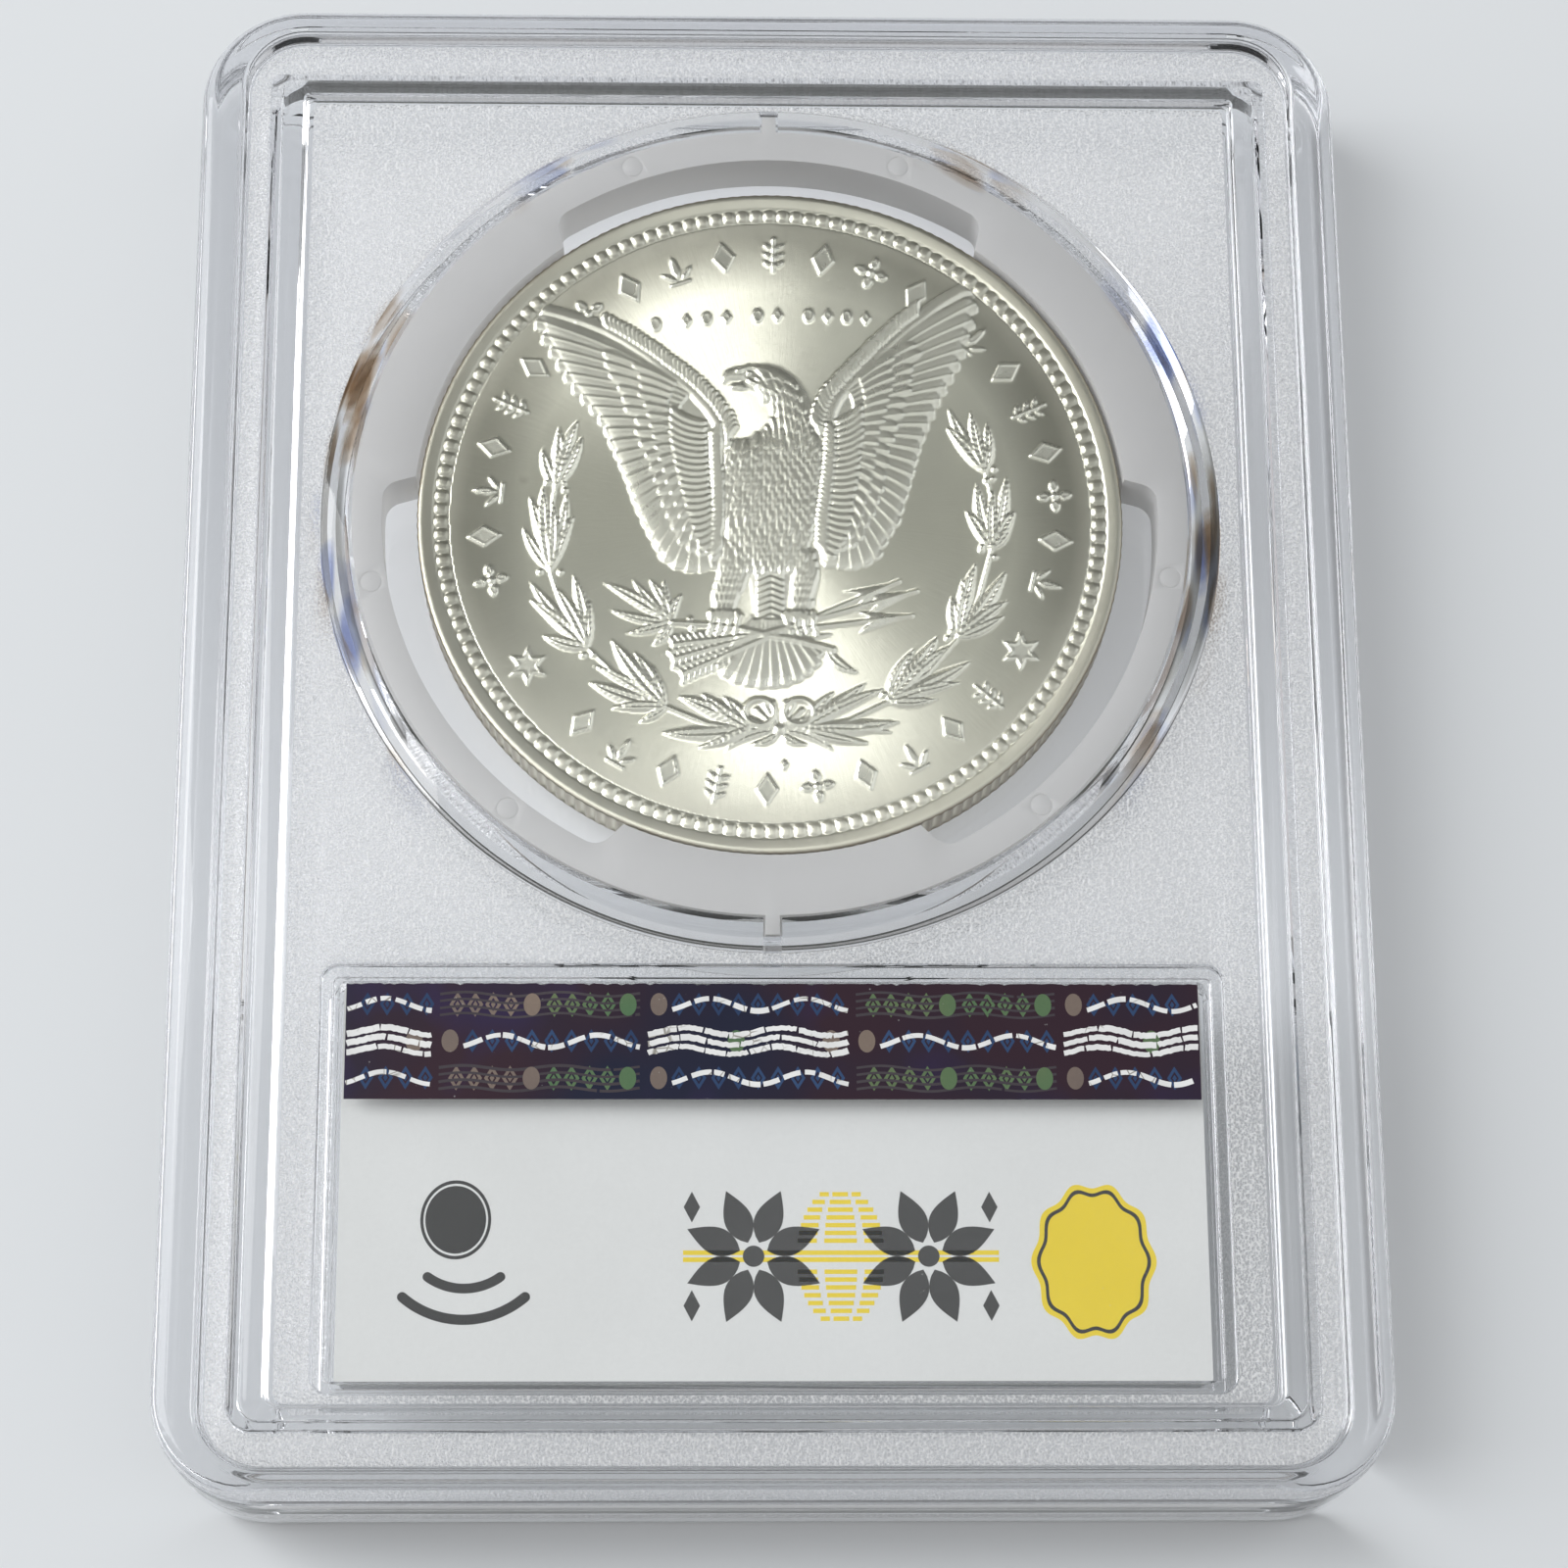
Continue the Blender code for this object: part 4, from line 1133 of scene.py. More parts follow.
def draw_ornaments(relief):
    """Rings of ornaments inside the beads, and a short row under the upper ones."""
    upper = [*np.linspace(194, 146, 6), *np.linspace(130, 58.5, 8), *np.linspace(43, -14.5, 7)]
    for k, degrees in enumerate(upper):
        centre = polar(ORNAMENT_R, degrees)
        MOTIFS[k % len(MOTIFS)](relief, centre, degrees - 90, 1.02)
    for k in range(10):
        degrees = 229.5 + k * 9.9
        centre = polar(ORNAMENT_R, degrees)
        MOTIFS[(k + 1) % len(MOTIFS)](relief, centre, degrees + 90, 0.98)
    for k, x in enumerate((-6.25, -4.55, -3.45, -2.35, -0.65, 0.45, 2.15, 3.2, 4.25, 5.3)):
        y = 11.82 - 0.0098 * (x - 1.4) ** 2
        if k % 2:
            lozenge(relief, (x, y), 0, 0.52)
        else:
            relief.outline(ellipse(x, y, 0.34, 15, radius_y=0.46), width=0.10, height=0.062)
    lozenge(relief, (0.67, -14.1), 0, 0.40)
    for centre in ((-12.97, -8.57), (13.38, -7.64)):
        star(relief, centre, 90, outer=1.22, inner=0.60, width=0.12, height=0.07)


def reverse_relief():
    """A bird with spread wings over arrows and a branch, in a wreath."""
    relief = Relief(17.76, pitch=0.08)
    draw_wing(relief, -1, **LEFT_WING)
    draw_wing(relief, 1, **RIGHT_WING)
    draw_tail_and_legs(relief)
    draw_body(relief)
    draw_head(relief)
    draw_arrows_and_branch(relief)
    draw_feet(relief)
    draw_wreath(relief)
    draw_bow(relief)
    draw_ornaments(relief)
    return relief


def obverse_relief():
    """A rayed star in a ring of stars and sprigs."""
    relief = Relief(17.76, pitch=0.12)
    for k in range(32):
        length, width = (7.4, 0.46) if k % 2 else (9.6, 0.62)
        degrees = 11.25 * k
        relief.leaf(polar(3.4, degrees), polar(length, degrees), width, height=0.085)
    for k in range(8):
        relief.leaf(polar(0.2, 45 * k), polar(3.3, 45 * k), width=0.95, height=0.11)
    relief.disc((0, 0), radius=0.8, height=0.14)
    relief.tube([polar(3.5, t) for t in range(0, 361, 6)], radius=0.22, height=0.09)
    relief.tube([polar(11.2, t) for t in range(0, 361, 4)], radius=0.20, height=0.07)
    for k in range(26):
        degrees = 360 / 26 * k
        centre = polar(14.3, degrees)
        if k % 2:
            star(relief, centre, degrees, outer=1.2, inner=0.6, width=0.14, height=0.075)
        else:
            sprig(relief, centre, degrees - 90, 1.0)
    return relief


# =============================================================================
# coin
# =============================================================================
FACE_R = 17.50                # the struck faces reach under the beads
BEAD_MID, BEAD_HALF, BEADS, REEDS = 17.79, 0.35, 150, 189
# flat rim: radius, height above the field
RIM_RADII = (18.14, 18.22, 18.30, 18.52, 18.70, 18.86, 18.97)
RIM_HEIGHTS = (0.02, 0.085, 0.105, 0.118, 0.150, 0.148, 0.120)


def silver_material():
    """Struck silver: radial flow lines in the field, frosted relief, toning toward the rim, and a painted
    dark reflection in a ring of the field.
    """
    shader = material_shader("coin_silver")
    # 1 on raised parts, 0 in the field
    lift = shader.node("Attribute", attribute_name="lift").outputs["Fac"]
    centre = (0.0, COIN_Y * MM, COIN_Z * MM)
    x, y, _ = shader.xyz(shader.vector("SUBTRACT", shader.coords, centre))
    radius = shader.radius_mm(x, y)
    theta = shader.math("ARCTAN2", y, x)
    # flow lines: noise stretched along the radius
    stretched = shader.node("CombineXYZ", {0: shader.times(theta, 46.0), 1: shader.times(radius, 0.35)})
    flow = shader.noise(scale=1.6, detail=4.0, roughness=0.65, vector=stretched)
    patches = shader.noise(scale=130.0, detail=4.0, roughness=0.6)
    fine = shader.noise(scale=2600.0, detail=3.0, roughness=0.6)
    flat = shader.math("SUBTRACT", 1.0, lift, clamp=True)
    toning = shader.noise(scale=75.0, detail=3.0, roughness=0.55)

    def outward(stops):
        """Ramp over the radius, as a share of the coin's."""
        return shader.ramp(shader.math("DIVIDE", radius, COIN_R), stops)

    colour = shader.two_tone(patches, edges=(0.35, 0.7), start=(0.86, 0.85, 0.71), end=(0.92, 0.91, 0.76))
    warm = shader.times(outward({0.80: 0.0, 0.985: 1.0}), shader.ramp(toning, {0.35: 0.25, 0.65: 1.0}))
    colour = shader.mix(warm, colour, (0.82, 0.77, 0.60))
    # the frosted devices stay whiter than the field
    colour = shader.mix(shader.times(lift, 0.9, clamp=True), colour, (0.98, 0.97, 0.84))
    # painted dark reflection: the field is darkened in a mottled ring that is weakest at the -Y end
    ring = shader.times(outward({0.70: 0.0, 0.86: 1.0}), flat)
    sine = shader.times_plus(shader.math("SINE", theta), 0.5, 0.5)
    opening = shader.times(shader.ramp(sine, {0.05: 0.22, 0.40: 1.0}),
                           shader.ramp(sine, {0.72: 1.0, 1.0: 0.85}))
    mottled = shader.times_plus(toning, 0.7, 0.55, clamp=True)
    painted_shade = shader.times(shader.times(ring, opening), mottled)
    colour = shader.mix(painted_shade, colour, (0.105, 0.100, 0.066))
    # brown reeded edge
    edge = shader.times(outward({0.990: 0.0, 0.9975: 1.0}), shader.ramp(toning, {0.3: 0.5, 0.7: 1.0}))
    colour = shader.mix(edge, colour, (0.22, 0.165, 0.10))
    tarnish = shader.specks(scale=260.0, dot={0.03: 1.0, 0.09: 0.0},
                            patch_scale=340.0, patch={0.55: 0.0, 0.65: 0.5})
    colour = shader.mix(tarnish, colour, (0.30, 0.25, 0.18))
    roughness = shader.math("SUBTRACT", shader.times_plus(flat, 0.12, 0.275), 0.05)
    flow_bump = shader.bump(shader.times(flow, flat), strength=0.30, distance=0.00004)
    grain = shader.plus(fine, shader.times(patches, 1.5))
    return shader.finish(shader.node("BsdfPrincipled", {
        "Base Color": colour,
        "Metallic": 1.0,
        "Roughness": shader.times_plus(patches, 0.10, roughness),
        "Anisotropic": shader.times(flat, 0.90),
        "Tangent": shader.node("Tangent", direction_type="RADIAL", axis="Z"),
        "Normal": shader.bump(grain, strength=0.35, distance=0.000012, normal=flow_bump),
    }))


def coin_piece(name, points, faces, lift):
    """Smooth closed mesh with the `lift` attribute the silver reads."""
    mesh = bpy.data.meshes.new(name)
    mesh.from_pydata((points * MM).tolist(), [], faces)
    mesh.validate()
    attribute = mesh.attributes.new("lift", "FLOAT", "POINT")
    attribute.data.foreach_set("value", lift.astype(np.float32))
    shade_smooth(mesh)
    bm = bmesh.new()
    bm.from_mesh(mesh)
    bmesh.ops.recalc_face_normals(bm, faces=bm.faces)
    bm.to_mesh(mesh)
    bm.free()
    mesh.materials.append(silver)
    return place(bpy.data.objects.new(name, mesh))


def coin_face(name, relief, z_face, z_back):
    """Closed plate whose one face is the relief; its edge dips out of sight under the beads."""
    x, y = np.meshgrid(relief.axis, relief.axis)
    radius = np.hypot(x, y)
    up = 1.0 if z_face > z_back else -1.0
    height = np.minimum(relief.base + 1.45 * relief.fine, 0.153)
    # the field rises a little toward the beads
    height = height + 0.018 * np.clip((radius - 12.5) / 4.8, 0, 1) ** 2
    height = np.where(radius > 17.37, -0.12, height)
    near = radius < FACE_R
    cells = near[:-1, :-1] & near[1:, :-1] & near[:-1, 1:] & near[1:, 1:]
    size = relief.size
    touching = np.zeros((size, size), int)      # cells that meet at each grid point
    for dy in (0, 1):
        for dx in (0, 1):
            touching[dy:size - 1 + dy, dx:size - 1 + dx] += cells
    used = touching > 0
    index = np.full((size, size), -1)
    index[used] = np.arange(used.sum())
    top = np.stack([up * x[used], y[used], z_face + up * height[used]], 1)
    top[:, 1] += COIN_Y
    row, column = np.nonzero(cells)
    quads = np.stack([index[row, column], index[row, column + 1],
                      index[row + 1, column + 1], index[row + 1, column]], 1)
    # outline of the plate, in order round the centre
    row, column = np.nonzero(used & (touching < 4))
    order = np.argsort(np.arctan2(y[row, column], x[row, column]))
    loop = index[row[order], column[order]]
    bottom = top[loop].copy()
    bottom[:, 2] = z_back
    faces = quads.tolist()
    first, count = len(top), len(loop)
    for i in range(count):
        j = (i + 1) % count
        faces.append([int(loop[j]), int(loop[i]), first + i, first + j])
    faces.append([first + i for i in range(count)][::-1])
    lift = np.concatenate([np.clip(height[used] / 0.03, 0, 1), np.zeros(count)])
    return coin_piece(name, np.concatenate([top, bottom]), faces, lift)


def coin_ring(name):
    """Beads, flat rim and reeded edge, as one closed ring."""
    count = 1500
    theta = np.linspace(0, 2 * np.pi, count, endpoint=False)
    over_bead = (((theta * BEADS / (2 * np.pi)) % 1.0) - 0.5) * 2      # -1 to 1 over one bead
    reed = 0.5 + 0.5 * np.cos(theta * REEDS)
    rows = []
    for r in [17.20, 17.34, 17.42, *np.linspace(17.46, 18.12, 10), 18.16, *RIM_RADII[1:]]:
        z = np.full(count, FIELD + 0.0185 if r > 17.3 else FIELD - 0.04)
        if 17.44 < r < RIM_RADII[0]:
            u = (r - BEAD_MID) / BEAD_HALF
            z += 0.112 * np.clip(1 - np.abs(u) ** 3.0 - np.abs(over_bead / 0.84) ** 3.0, 0, 1) ** 0.42
        elif r >= RIM_RADII[0]:
            z = np.full(count, FIELD + np.interp(r, RIM_RADII, RIM_HEIGHTS))
        rows.append((np.full(count, r), z))
    rows.append((19.045 - 0.03 * reed, np.full(count, 5.10)))
    rows.append((COIN_R - 0.150 * reed, np.full(count, 5.02)))
    rows.append((COIN_R - 0.160 * reed, np.full(count, 4.55)))
    rows += [(r, 2 * COIN_Z - z) for r, z in rows[::-1]]
    points = [np.stack([r * np.cos(theta), COIN_Y + r * np.sin(theta), z], 1) for r, z in rows]
    i = np.arange(count)
    j = (i + 1) % count
    faces = []
    for k in range(len(rows)):
        here, after = k * count, ((k + 1) % len(rows)) * count
        faces.append(np.stack([here + i, after + i, after + j, here + j], 1))
    lift = np.full(count * len(rows), 0.6)
    return coin_piece(name, np.concatenate(points), np.concatenate(faces).tolist(), lift)


silver = silver_material()
coin_pieces = (
    coin_face("coin_struck_reverse", reverse_relief(), FIELD, 4.01),
    coin_face("coin_struck_obverse", obverse_relief(), 2 * COIN_Z - FIELD, 3.99),
    coin_ring("coin_rim_reeded"),
)


# =============================================================================
# printed labels: sheets with thin slabs of ink on them
# =============================================================================
PAPER, BLACK, GREY, YELLOW, PALE, BLUE = range(6)   # material slots of a label
REAR_INK = (5.306, 5.324)                           # bottom and top of the ink
FRONT_INK = (4.622, 4.634)
print_random = np.random.default_rng(3)


def printed(name, start, end, roughness=0.52, wear=0.02, metallic=0.0):
    """Ink or paper: colour drifts a little, with fibres and, if worn, missing specks."""
    shader = material_shader(name)
    cloud = shader.noise(scale=120.0, detail=3.0)
    fibre = shader.noise(scale=5200.0, detail=3.0, roughness=0.65)
    colour = shader.two_tone(cloud, (0.32, 0.68), start, end)
    threads = shader.times(shader.ramp(fibre, {0.35: 1.0, 0.62: 0.0}), 0.10)
    colour = shader.mix(threads, colour, tuple(c * 0.72 for c in start))
    if wear:
        missing = shader.specks(scale=6200.0, dot={0.10: 1.0, 0.22: 0.0},
                                patch_scale=2600.0, patch={0.68 - wear: 0.0, 0.74 - wear: 1.0})
        colour = shader.mix(shader.times(missing, 0.8), colour, (0.62, 0.63, 0.62))
    return shader.finish(shader.node("BsdfPrincipled", {
        "Base Color": colour,
        "Roughness": shader.times_plus(fibre, 0.18, roughness - 0.09),
        "Metallic": metallic,
        "Specular IOR Level": 0.35,
        "Normal": shader.bump(fibre, strength=0.22, distance=0.00002),
    }))


def label_sheet(low, high):
    sheet = Body()
    outline = rounded_box(LABEL_HALF_W, LABEL_BOTTOM, LABEL_TOP, 0.25, steps=4)
    sheet.slab(outline, low, high, PAPER)
    return sheet


def print_disc_and_arcs(sheet):
    """Ringed black disc over two arcs with round ends, near the -x edge."""
    middle = (-16.25, -26.55)
    disc = ellipse(*middle, 1.72, 64, radius_y=1.95)
    sheet.slab(scaled(disc, middle, 0.90), *REAR_INK, BLACK)
    sheet.band(scaled(disc, middle, 0.96), scaled(disc, middle, 1.05), *REAR_INK, BLACK)
    arc_middle = (-15.78, -26.95)
    # radius, half angle in degrees, width
    for radius, half, width in ((3.15, 36, 0.50), (4.75, 41, 0.52)):
        line = [polar(radius, 270 + t, arc_middle) for t in np.linspace(-half, half, 30)]
        sheet.stroke(line, width, *REAR_INK, BLACK)
        for x, y in (line[0], line[-1]):
            sheet.slab(ellipse(x, y, width / 2, 16), REAR_INK[0], REAR_INK[1] - 0.002, BLACK)


def print_emblem(sheet):
    """Two grey rosettes and four lozenges, with yellow hatching and bars between them."""
    left, right, y = -4.65, 11.49, -28.44
    low, high = REAR_INK
    upper = [(0.75 + (3.66 - 0.75) * u, 0.72 * math.sin(math.pi * u ** 0.8)) for u in shares(13)]
    petal = upper + [(along, -across) for along, across in upper[11:0:-1]]
    for x in (-1.05, 7.9):
        for k in range(8):
            sheet.slab(turned((x, y), 22.5 + 45 * k, petal), low, high, GREY)
        sheet.slab(ellipse(x, y, 0.55, 32), low, high + 0.004, GREY)
    for x in (-4.2, 11.05):
        for side in (-1, 1):
            points = [(x - 0.42, y + side * 2.55), (x, y + side * 3.35),
                      (x + 0.42, y + side * 2.55), (x, y + side * 1.75)]
            sheet.slab(points, low, high, GREY)
    sun_x, sun_r = 3.40, 3.64
    for k in range(19):
        line_y = y + 3.62 - k * 0.4022
        half = math.sqrt(sun_r ** 2 - (line_y - y) ** 2) * 0.62
        if abs(line_y - y) < 0.45 or half <= 0.3:
            continue
        for start, end in ((-half, -0.55 * half), (-0.38 * half, 0.38 * half), (0.55 * half, half)):
            bar = box(sun_x + start, line_y - 0.115, sun_x + end, line_y + 0.115)
            sheet.slab(bar, low, high, YELLOW)
    sheet.slab(box(left, y - 0.30, right, y - 0.06), low, high, YELLOW)
    sheet.slab(box(left, y + 0.06, right, y + 0.30), low, high, YELLOW)


def scallop(half_w, half_h):
    """Ellipse with ten lobes."""
    points = []
    for i in range(120):
        angle = 2 * math.pi * i / 120
        wave = 1 + 0.045 * math.cos(10 * angle)
        points.append((16.35 + half_w * wave * math.cos(angle),
                       -28.72 + half_h * wave * math.sin(angle)))
    return points


def build_rear_label():
    sheet = label_sheet(5.12, 5.315)
    print_disc_and_arcs(sheet)
    print_emblem(sheet)
    sheet.slab(scallop(3.08, 3.98), REAR_INK[0], REAR_INK[1] - 0.006, YELLOW)
    sheet.band(scallop(2.62, 3.50), scallop(2.80, 3.70), *REAR_INK, BLACK)
    return place(sheet.finish("rear_label_printed"))


def build_front_label():
    """Label read from below: blue panel, bars, a bar pattern and rings."""
    sheet = label_sheet(4.63, 4.83)

    def print_box(x0, y0, x1, y1, ink):
        sheet.slab(box(x0, y0, x1, y1), *FRONT_INK, ink)

    print_box(-21.6, -17.4, 21.6, -14.9, BLUE)
    for k in range(44):
        x = -21.2 + k * 0.97
        ripple = [(x + 0.3 * math.sin(t * 0.9), -15.0 - 0.25 * t) for t in range(10)]
        sheet.stroke(ripple, 0.10, FRONT_INK[0] - 0.004, FRONT_INK[1], PALE)
    bars_end = 20.6
    for y, width, ink in ((-19.3, 15.5, GREY), (-21.5, 19.0, GREY), (-23.7, 11.0, BLACK)):
        print_box(bars_end - width, y - 0.62, bars_end, y + 0.62, ink)
    for k in range(4):
        y = -26.4 - 1.6 * k
        print_box(bars_end - (7.0 + 2.1 * (k % 3)), y - 0.32, bars_end, y + 0.32, PALE)
    x = -20.8
    while x < -5.2:
        width = float(print_random.choice((0.16, 0.30, 0.46)))
        print_box(x, -33.9, x + width, -29.6, BLACK)
        x += width + float(print_random.choice((0.18, 0.32, 0.45)))
    for k in range(3):
        middle = (-18.6 + 3.6 * k, -22.0)
        ring = ellipse(*middle, 1.45, 48)
        sheet.band(scaled(ring, middle, 0.80), ring, *FRONT_INK, YELLOW)
    print_box(-21.2, -27.4, -6.0, -27.1, GREY)
    return place(sheet.finish("front_label_printed"))


rear_label = build_rear_label()
front_label = build_front_label()
label_materials = [
    printed("label_paper", (0.80, 0.81, 0.79), (0.83, 0.84, 0.82), roughness=0.55, wear=0.0),
    printed("ink_black", (0.010, 0.010, 0.011), (0.016, 0.016, 0.017)),
    printed("ink_grey", (0.030, 0.030, 0.031), (0.042, 0.042, 0.043)),
    printed("ink_yellow", (0.90, 0.68, 0.012), (0.94, 0.72, 0.03)),
    printed("ink_pale", (0.55, 0.60, 0.64), (0.60, 0.65, 0.69), roughness=0.5, wear=0.0),
    printed("ink_blue", (0.18, 0.30, 0.45), (0.22, 0.34, 0.50), roughness=0.5),
]
for label in (rear_label, front_label):
    for material in label_materials:
        label.data.materials.append(material)


# =============================================================================
# security strip: foil with rows of waves, dots and lozenges
# =============================================================================
FOIL, WHITE, BROWN, GREEN, DEEP_BLUE, DULL_GREY = range(6)     # material slots of the strip
STRIP_X0, STRIP_X1, STRIP_Y0, STRIP_Y1 = -22.05, 22.05, -20.45, -14.25
STRIP_LO, STRIP_HI = 6.680, 6.6905                  # bottom and top of its print
ROW_Y, ROW_STEP, ROWS = -15.45, -1.95, 4
COLUMN_X, COLUMN_STEP, COLUMN_W, COLUMNS = -28.15 + 0.20, 10.74, 10.32, 5


def foil_material():
    shader = material_shader("strip_foil")
    drift = shader.noise(scale=85.0)
    other = shader.noise(scale=210.0)
    colour = shader.two_tone(drift, edges=(0.40, 0.60),
                             start=(0.012, 0.014, 0.040), end=(0.036, 0.014, 0.026))
    violet = shader.ramp(other, {0.55: 0.0, 0.75: 0.7})
    colour = shader.mix(violet, colour, (0.028, 0.016, 0.070))
    bright = shader.specks(scale=2100.0, dot={0.05: 1.0, 0.12: 0.0},
                           patch_scale=900.0, patch={0.58: 0.0, 0.64: 1.0})
    grain = shader.noise(scale=1300.0, detail=3.0)
    return shader.finish(shader.node("BsdfPrincipled", {
        "Base Color": shader.mix(shader.times(bright, 0.6), colour, (0.55, 0.55, 0.55)),
        "Metallic": 0.35,
        "Roughness": shader.times_plus(other, 0.15, 0.24),
        "Normal": shader.bump(grain, strength=0.15, distance=0.00003),
    }))


def wave_material():
    """Bright lines of the strip, crazed with fine cracks."""
    shader = material_shader("strip_wave_white")
    cracks = shader.specks(scale=1500.0, dot={0.02: 1.0, 0.06: 0.0}, patch_scale=420.0,
                           patch={0.50: 0.0, 0.58: 0.85}, feature="DISTANCE_TO_EDGE")
    white = shader.two_tone(shader.noise(scale=700.0), edges=(0.35, 0.65),
                            start=(0.80, 0.80, 0.79), end=(0.90, 0.90, 0.89))
    grain = shader.noise(scale=2400.0, detail=3.0)
    return shader.finish(shader.node("BsdfPrincipled", {
        "Base Color": shader.mix(cracks, white, (0.22, 0.20, 0.16)),
        "Metallic": 0.0,
        "Roughness": shader.times_plus(cracks, 0.3, 0.32),
        "Normal": shader.bump(grain, strength=0.15, distance=0.00002),
    }))


def inside_strip(x, y):
    return STRIP_X0 + 0.05 < x < STRIP_X1 - 0.05 and STRIP_Y0 + 0.05 < y < STRIP_Y1 - 0.16


def print_wave(strip, start, end, y, width, dash, gap,
               phase=0.0, material=WHITE, jag=0.0, swing=1.0):
    """Dashed wave of uneven dashes; `swing` scales its height, `jag` roughens it."""
    top = STRIP_HI if material == WHITE else STRIP_HI - 0.003
    x = start
    while x < end - 0.1:
        dash_end = min(x + dash * (0.65 + 0.7 * print_random.random()), end)
        points = []
        steps = max(int((dash_end - x) / 0.13), 2)
        for i in range(steps + 1):
            px = x + (dash_end - x) * i / steps
            py = y + swing * 0.33 * math.sin(2 * math.pi * (px - start) / 4.95 + phase)
            if inside_strip(px, py):
                points.append((px, py + jag * (print_random.random() - 0.5)))
        if len(points) >= 2:
            strip.stroke(points, width * (0.85 + 0.3 * print_random.random()),
                         STRIP_LO, top, material)
        x = dash_end + gap * (0.6 + 0.8 * print_random.random())


def print_dot(strip, x, y, material):
    """Oval dot, trimmed to the strip."""
    if inside_strip(x, y):
        points = [(min(max(px, STRIP_X0 + 0.05), STRIP_X1 - 0.05),
                   min(max(py, STRIP_Y0 + 0.04), STRIP_Y1 - 0.15))
                  for px, py in ellipse(x, y, 0.44, 22, radius_y=0.60)]
        strip.slab(points, STRIP_LO, STRIP_HI - 0.0015, material)


def print_lozenges(strip, start, end, y, material, size=0.62, step=1.02):
    top = STRIP_HI - 0.0045
    x = start
    while x < end - 0.2:
        if inside_strip(x - size * 0.6, y - size) and inside_strip(x + size * 0.6, y + size * 0.75):
            outline = [(x + size * 0.62 * dx, y + size * dy)
                       for dx, dy in ((1, 0), (0, 1), (-1, 0), (0, -1))]
            strip.band(scaled(outline, (x, y), 0.55), outline, STRIP_LO, top, material)
            strip.slab(scaled(outline, (x, y), 0.30), STRIP_LO, top, material)
        x += step


def print_cell(strip, column, row):
    """One cell of the strip's pattern; its kind alternates by row and column."""
    x = COLUMN_X + COLUMN_STEP * column
    y = ROW_Y + ROW_STEP * row
    start, end = max(x, STRIP_X0 + 0.08), min(x + COLUMN_W, STRIP_X1 - 0.08)
    if column % 2 == row % 2:
        print_dot(strip, x + 0.55, y + 0.02, BROWN)
        lozenges_x = x + (1.7 if column % 2 else 1.6)
        print_lozenges(strip, max(start, lozenges_x), end, y + 0.02, DEEP_BLUE)
        print_wave(strip, max(start, x + 1.25), end, y, width=0.27, dash=0.80, gap=0.18, phase=-0.9)
    elif row % 2:
        for k, offset in enumerate((0.52, 0.02, -0.48)):
            print_wave(strip, start, end, y + offset, width=0.30, dash=1.5, gap=0.09,
                       phase=-0.9 + 0.12 * k, jag=0.06, swing=0.62)
        print_dot(strip, x + 4.55, y, GREEN)
        print_dot(strip, x + 9.45, y, BROWN)
    else:
        for offset in (0.55, 0.18, -0.20, -0.57):
            print_wave(strip, start, end, y + offset, width=0.14, dash=10.0, gap=0.2,
                       material=DULL_GREY, swing=0.35)
        for shift, material in ((0.0, BROWN if column == 1 else GREEN), (5.0, GREEN)):
            print_lozenges(strip, x + 0.9 + shift, x + 3.9 + shift, y, material, 0.66, 0.92)
            print_dot(strip, x + (9.7 if shift else 4.75), y, material)


def build_strip():
    strip = Body()
    # the +Y edge is ragged, the -Y edge nearly straight
    top_edge = []
    for i in range(181):
        x = STRIP_X1 - (STRIP_X1 - STRIP_X0) * i / 180
        y = STRIP_Y1 - 0.05 - 0.05 * print_random.random() - 0.07 * (print_random.random() > 0.86)
        top_edge.append((x, y))
    bottom_edge = [(STRIP_X0 + (STRIP_X1 - STRIP_X0) * i / 60,
                    STRIP_Y0 + 0.012 * print_random.random()) for i in range(61)]
    strip.slab(bottom_edge + top_edge, 6.618, 6.684, FOIL)
    for column in range(COLUMNS):
        for row in range(ROWS):
            print_cell(strip, column, row)
    return place(strip.finish("security_strip_foil"))


security = build_strip()
security.data.materials.append(foil_material())
security.data.materials.append(wave_material())
for name, start, end, wear in (
    ("strip_brown", (0.185, 0.145, 0.130), (0.26, 0.20, 0.16), 0.05),
    ("strip_green", (0.085, 0.190, 0.095), (0.15, 0.20, 0.10), 0.03),
    ("strip_blue", (0.022, 0.045, 0.115), (0.045, 0.095, 0.215), 0.0),
    ("strip_grey", (0.060, 0.050, 0.060), (0.080, 0.068, 0.078), 0.0),
):
    security.data.materials.append(printed(name, start, end, roughness=0.35, wear=wear, metallic=0.3))


# =============================================================================
# tag inlay between the labels: the frame's own pieces, given materials
# =============================================================================
def inlay_material(name, tone, start, end, rough, grain, metallic=0.0):
    """`tone` is noise scale, detail and the two edges of the mix; `rough` is noise scale,
    detail, gain and offset; `grain` is noise scale, detail, bump strength and distance."""
    shader = material_shader(name)
    return shader.finish(shader.node("BsdfPrincipled", {
        "Base Color": shader.two_tone(shader.noise(*tone[:2]), tone[2:], start, end),
        "Metallic": metallic,
        "Roughness": shader.times_plus(shader.noise(*rough[:2]), *rough[2:]),
        "Normal": shader.bump(shader.noise(*grain[:2]), *grain[2:]),
    }))


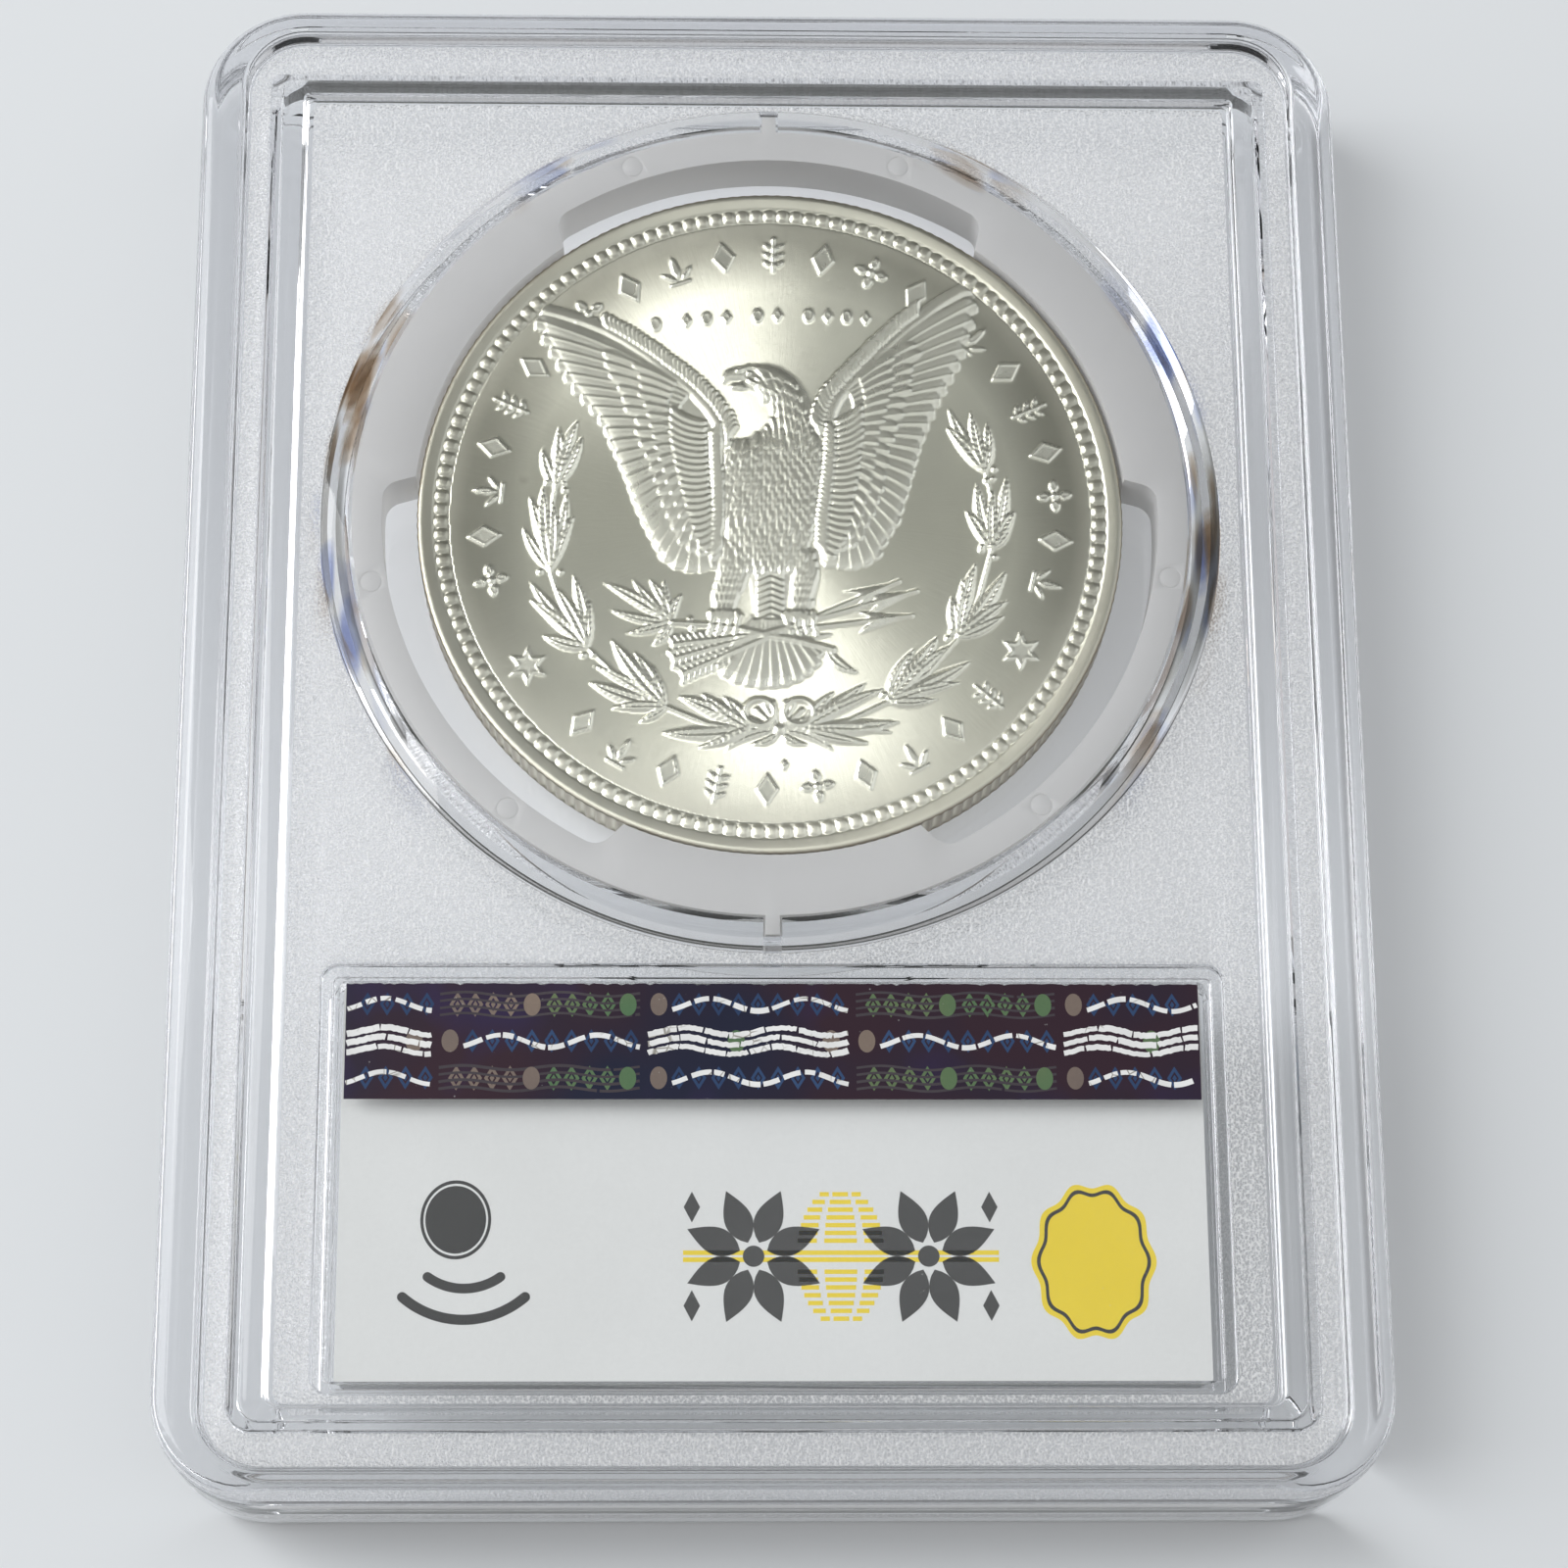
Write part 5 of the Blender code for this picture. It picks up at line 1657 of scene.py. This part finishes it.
only_material(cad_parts["nfc_film"].data, inlay_material(
    "inlay_film", tone=(160.0, 3.0, 0.35, 0.65), start=(0.62, 0.66, 0.66), end=(0.70, 0.73, 0.72),
    rough=(900.0, 3.0, 0.2, 0.20), grain=(2200.0, 2.0, 0.1, 0.00002)))
only_material(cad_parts["nfc_antenna"].data, inlay_material(
    "etched_aluminium", tone=(1500.0, 4.0, 0.3, 0.7), start=(0.62, 0.62, 0.63),
    end=(0.80, 0.80, 0.80), rough=(3200.0, 3.0, 0.25, 0.30), grain=(5000.0, 3.0, 0.2, 0.00001),
    metallic=1.0))
only_material(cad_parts["nfc_chip"].data, inlay_material(
    "chip_epoxy", tone=(3000.0, 3.0, 0.3, 0.7), start=(0.018, 0.018, 0.020),
    end=(0.04, 0.04, 0.042), rough=(6000.0, 2.0, 0.2, 0.38), grain=(7000.0, 2.0, 0.2, 0.00001)))


# =============================================================================
# what each piece rides on and replaces
# =============================================================================
for piece, node, slot in (
    (rear_shell, "rear_shell", "clear_polystyrene"),
    (front_shell, "front_shell", "clear_polystyrene"),
    (insert, "coin_insert", "translucent_insert"),
    (rear_label, "rear_label", "label_paper"),
    (front_label, "front_label", "label_paper"),
    (security, "security_strip", "strip_foil"),
):
    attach(piece, "holder")
    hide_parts(node)
for piece in coin_pieces:
    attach(piece, "coin")
    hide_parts("coin")


# =============================================================================
# floor, lights, world and camera; sizes in metres
# =============================================================================
def floor_material():
    """White paper that glows a little under the coin, as if the window gathered light."""
    shader = material_shader("floor_white")
    away = shader.vector("DISTANCE", shader.coords, (0.0, COIN_Y * MM, 0.0)).outputs["Value"]
    glow = shader.ramp(shader.times(away, 40.0), {0.84: 1.0, 0.92: 0.0})
    material = shader.finish(shader.node("BsdfPrincipled", {
        "Base Color": (0.80, 0.82, 0.835),
        "Roughness": 0.9,
        "Specular IOR Level": 0.1,
        "Emission Color": (1.0, 0.995, 0.99),
        "Emission Strength": shader.times(glow, 0.22),
    }))
    material.cycles.emission_sampling = "NONE"
    return material


def build_floor():
    mesh = bpy.data.meshes.new("floor")
    mesh.from_pydata([(x, y, 0) for x, y in box(-3, -3, 3, 3)], [], [(0, 1, 2, 3)])
    mesh.materials.append(floor_material())
    floor = bpy.data.objects.new("floor", mesh)
    scene.collection.objects.link(floor)
    floor.location = (0, 0, -0.00005)
    return floor


def area_light(name, location, aim, size, power, colour):
    """Rectangular light; `size` is its two sides, `power` in watts."""
    data = bpy.data.lights.new(name, "AREA")
    data.energy = power
    data.color = colour
    data.shape = "RECTANGLE"
    data.size, data.size_y = size
    lamp = bpy.data.objects.new(name, data)
    lamp.location = location
    lamp.rotation_mode = "QUATERNION"
    lamp.rotation_quaternion = (Vector(aim) - Vector(location)).to_track_quat("-Z", "Y")
    scene.collection.objects.link(lamp)


def build_world():
    """Room light that changes with height, with dim patches overhead for the coin to mirror."""
    world = bpy.data.worlds.new("studio")
    scene.world = world
    shader = Shader(world, output="OutputWorld")
    direction = shader.node("TexCoord").outputs["Generated"]
    _, y, z = shader.xyz(direction)

    def dim_patch(centre, reach, inner, outer, level):
        """Ellipse of the sky dimmed to `level`, fading out from `inner` to `outer`."""
        offset = shader.vector("SUBTRACT", direction, (*centre, 0.0))
        squashed = shader.vector("MULTIPLY", offset, (1.0 / reach[0], 1.0 / reach[1], 0.0))
        away = shader.vector("LENGTH", squashed).outputs["Value"]
        return shader.ramp(away, {inner: (level, level, level * 0.95), outer: 1.0})

    def product(first, second):
        return shader.mix(1.0, first, second, blend="MULTIPLY")

    sky = shader.ramp(z, {
        0.0: (0.24, 0.21, 0.19), 0.08: (0.36, 0.33, 0.31), 0.24: (0.74, 0.75, 0.77),
        0.80: (0.92, 0.95, 0.98), 0.97: (0.60, 0.62, 0.64)})
    dim = product(
        dim_patch(centre=(0.03, 0.66), reach=(0.86, 0.40), inner=0.72, outer=1.0, level=0.08),
        dim_patch(centre=(-0.05, 0.25), reach=(0.28, 0.80), inner=0.50, outer=1.0, level=0.84))
    # the -Y side of the room is dimmer
    side = shader.ramp(shader.times_plus(y, 0.5, 0.5), {0.10: (0.34, 0.33, 0.32), 0.80: 1.0})
    colour = product(product(sky, dim), side)
    shader.finish(shader.node("Background", {"Color": colour, "Strength": 1.37}))


def build_camera():
    data = bpy.data.cameras.new("camera")
    data.sensor_width = 36.0
    data.lens = 94.1985
    data.clip_start, data.clip_end = 0.01, 10.0
    camera = bpy.data.objects.new("camera", data)
    scene.collection.objects.link(camera)
    # it looks down, tilted toward +Y and rolled, and the whole set-up is turned about Z
    tilt, roll, yaw = math.radians(17.684), math.radians(5.027), math.radians(5.105)
    turn = Matrix.Rotation(-yaw, 3, "Z")
    look = Vector((0, math.sin(tilt), -math.cos(tilt)))
    up = Vector((0, math.cos(tilt), math.sin(tilt)))
    right = Vector((1, 0, 0))
    rolled_right = right * math.cos(roll) + up * math.sin(roll)
    rolled_up = up * math.cos(roll) - right * math.sin(roll)
    axes = Matrix([turn @ axis for axis in (rolled_right, rolled_up, -look)]).transposed()
    place_at = turn @ Vector((0.924, -68.983, 212.411)) * MM
    camera.matrix_world = Matrix.Translation(place_at) @ axes.to_4x4()
    scene.camera = camera


build_floor()
area_light("overhead_softbox", location=(-0.32, 0.200, 0.60), aim=(-0.02, 0.0, 0),
           size=(0.17, 0.36), power=0.52, colour=(1.0, 0.995, 0.985))
area_light("window_left", location=(-1.05, 0.22, 0.80), aim=(0, 0, 0),
           size=(0.93, 1.28), power=10.6, colour=(0.985, 0.99, 1.0))
build_world()
build_camera()

scene.view_settings.view_transform = "Standard"
scene.view_settings.look = "None"
cycles = scene.cycles
cycles.max_bounces = 12
cycles.transmission_bounces = 10
cycles.glossy_bounces = 5
cycles.diffuse_bounces = 2
cycles.transparent_max_bounces = 16
cycles.blur_glossy = 0.5
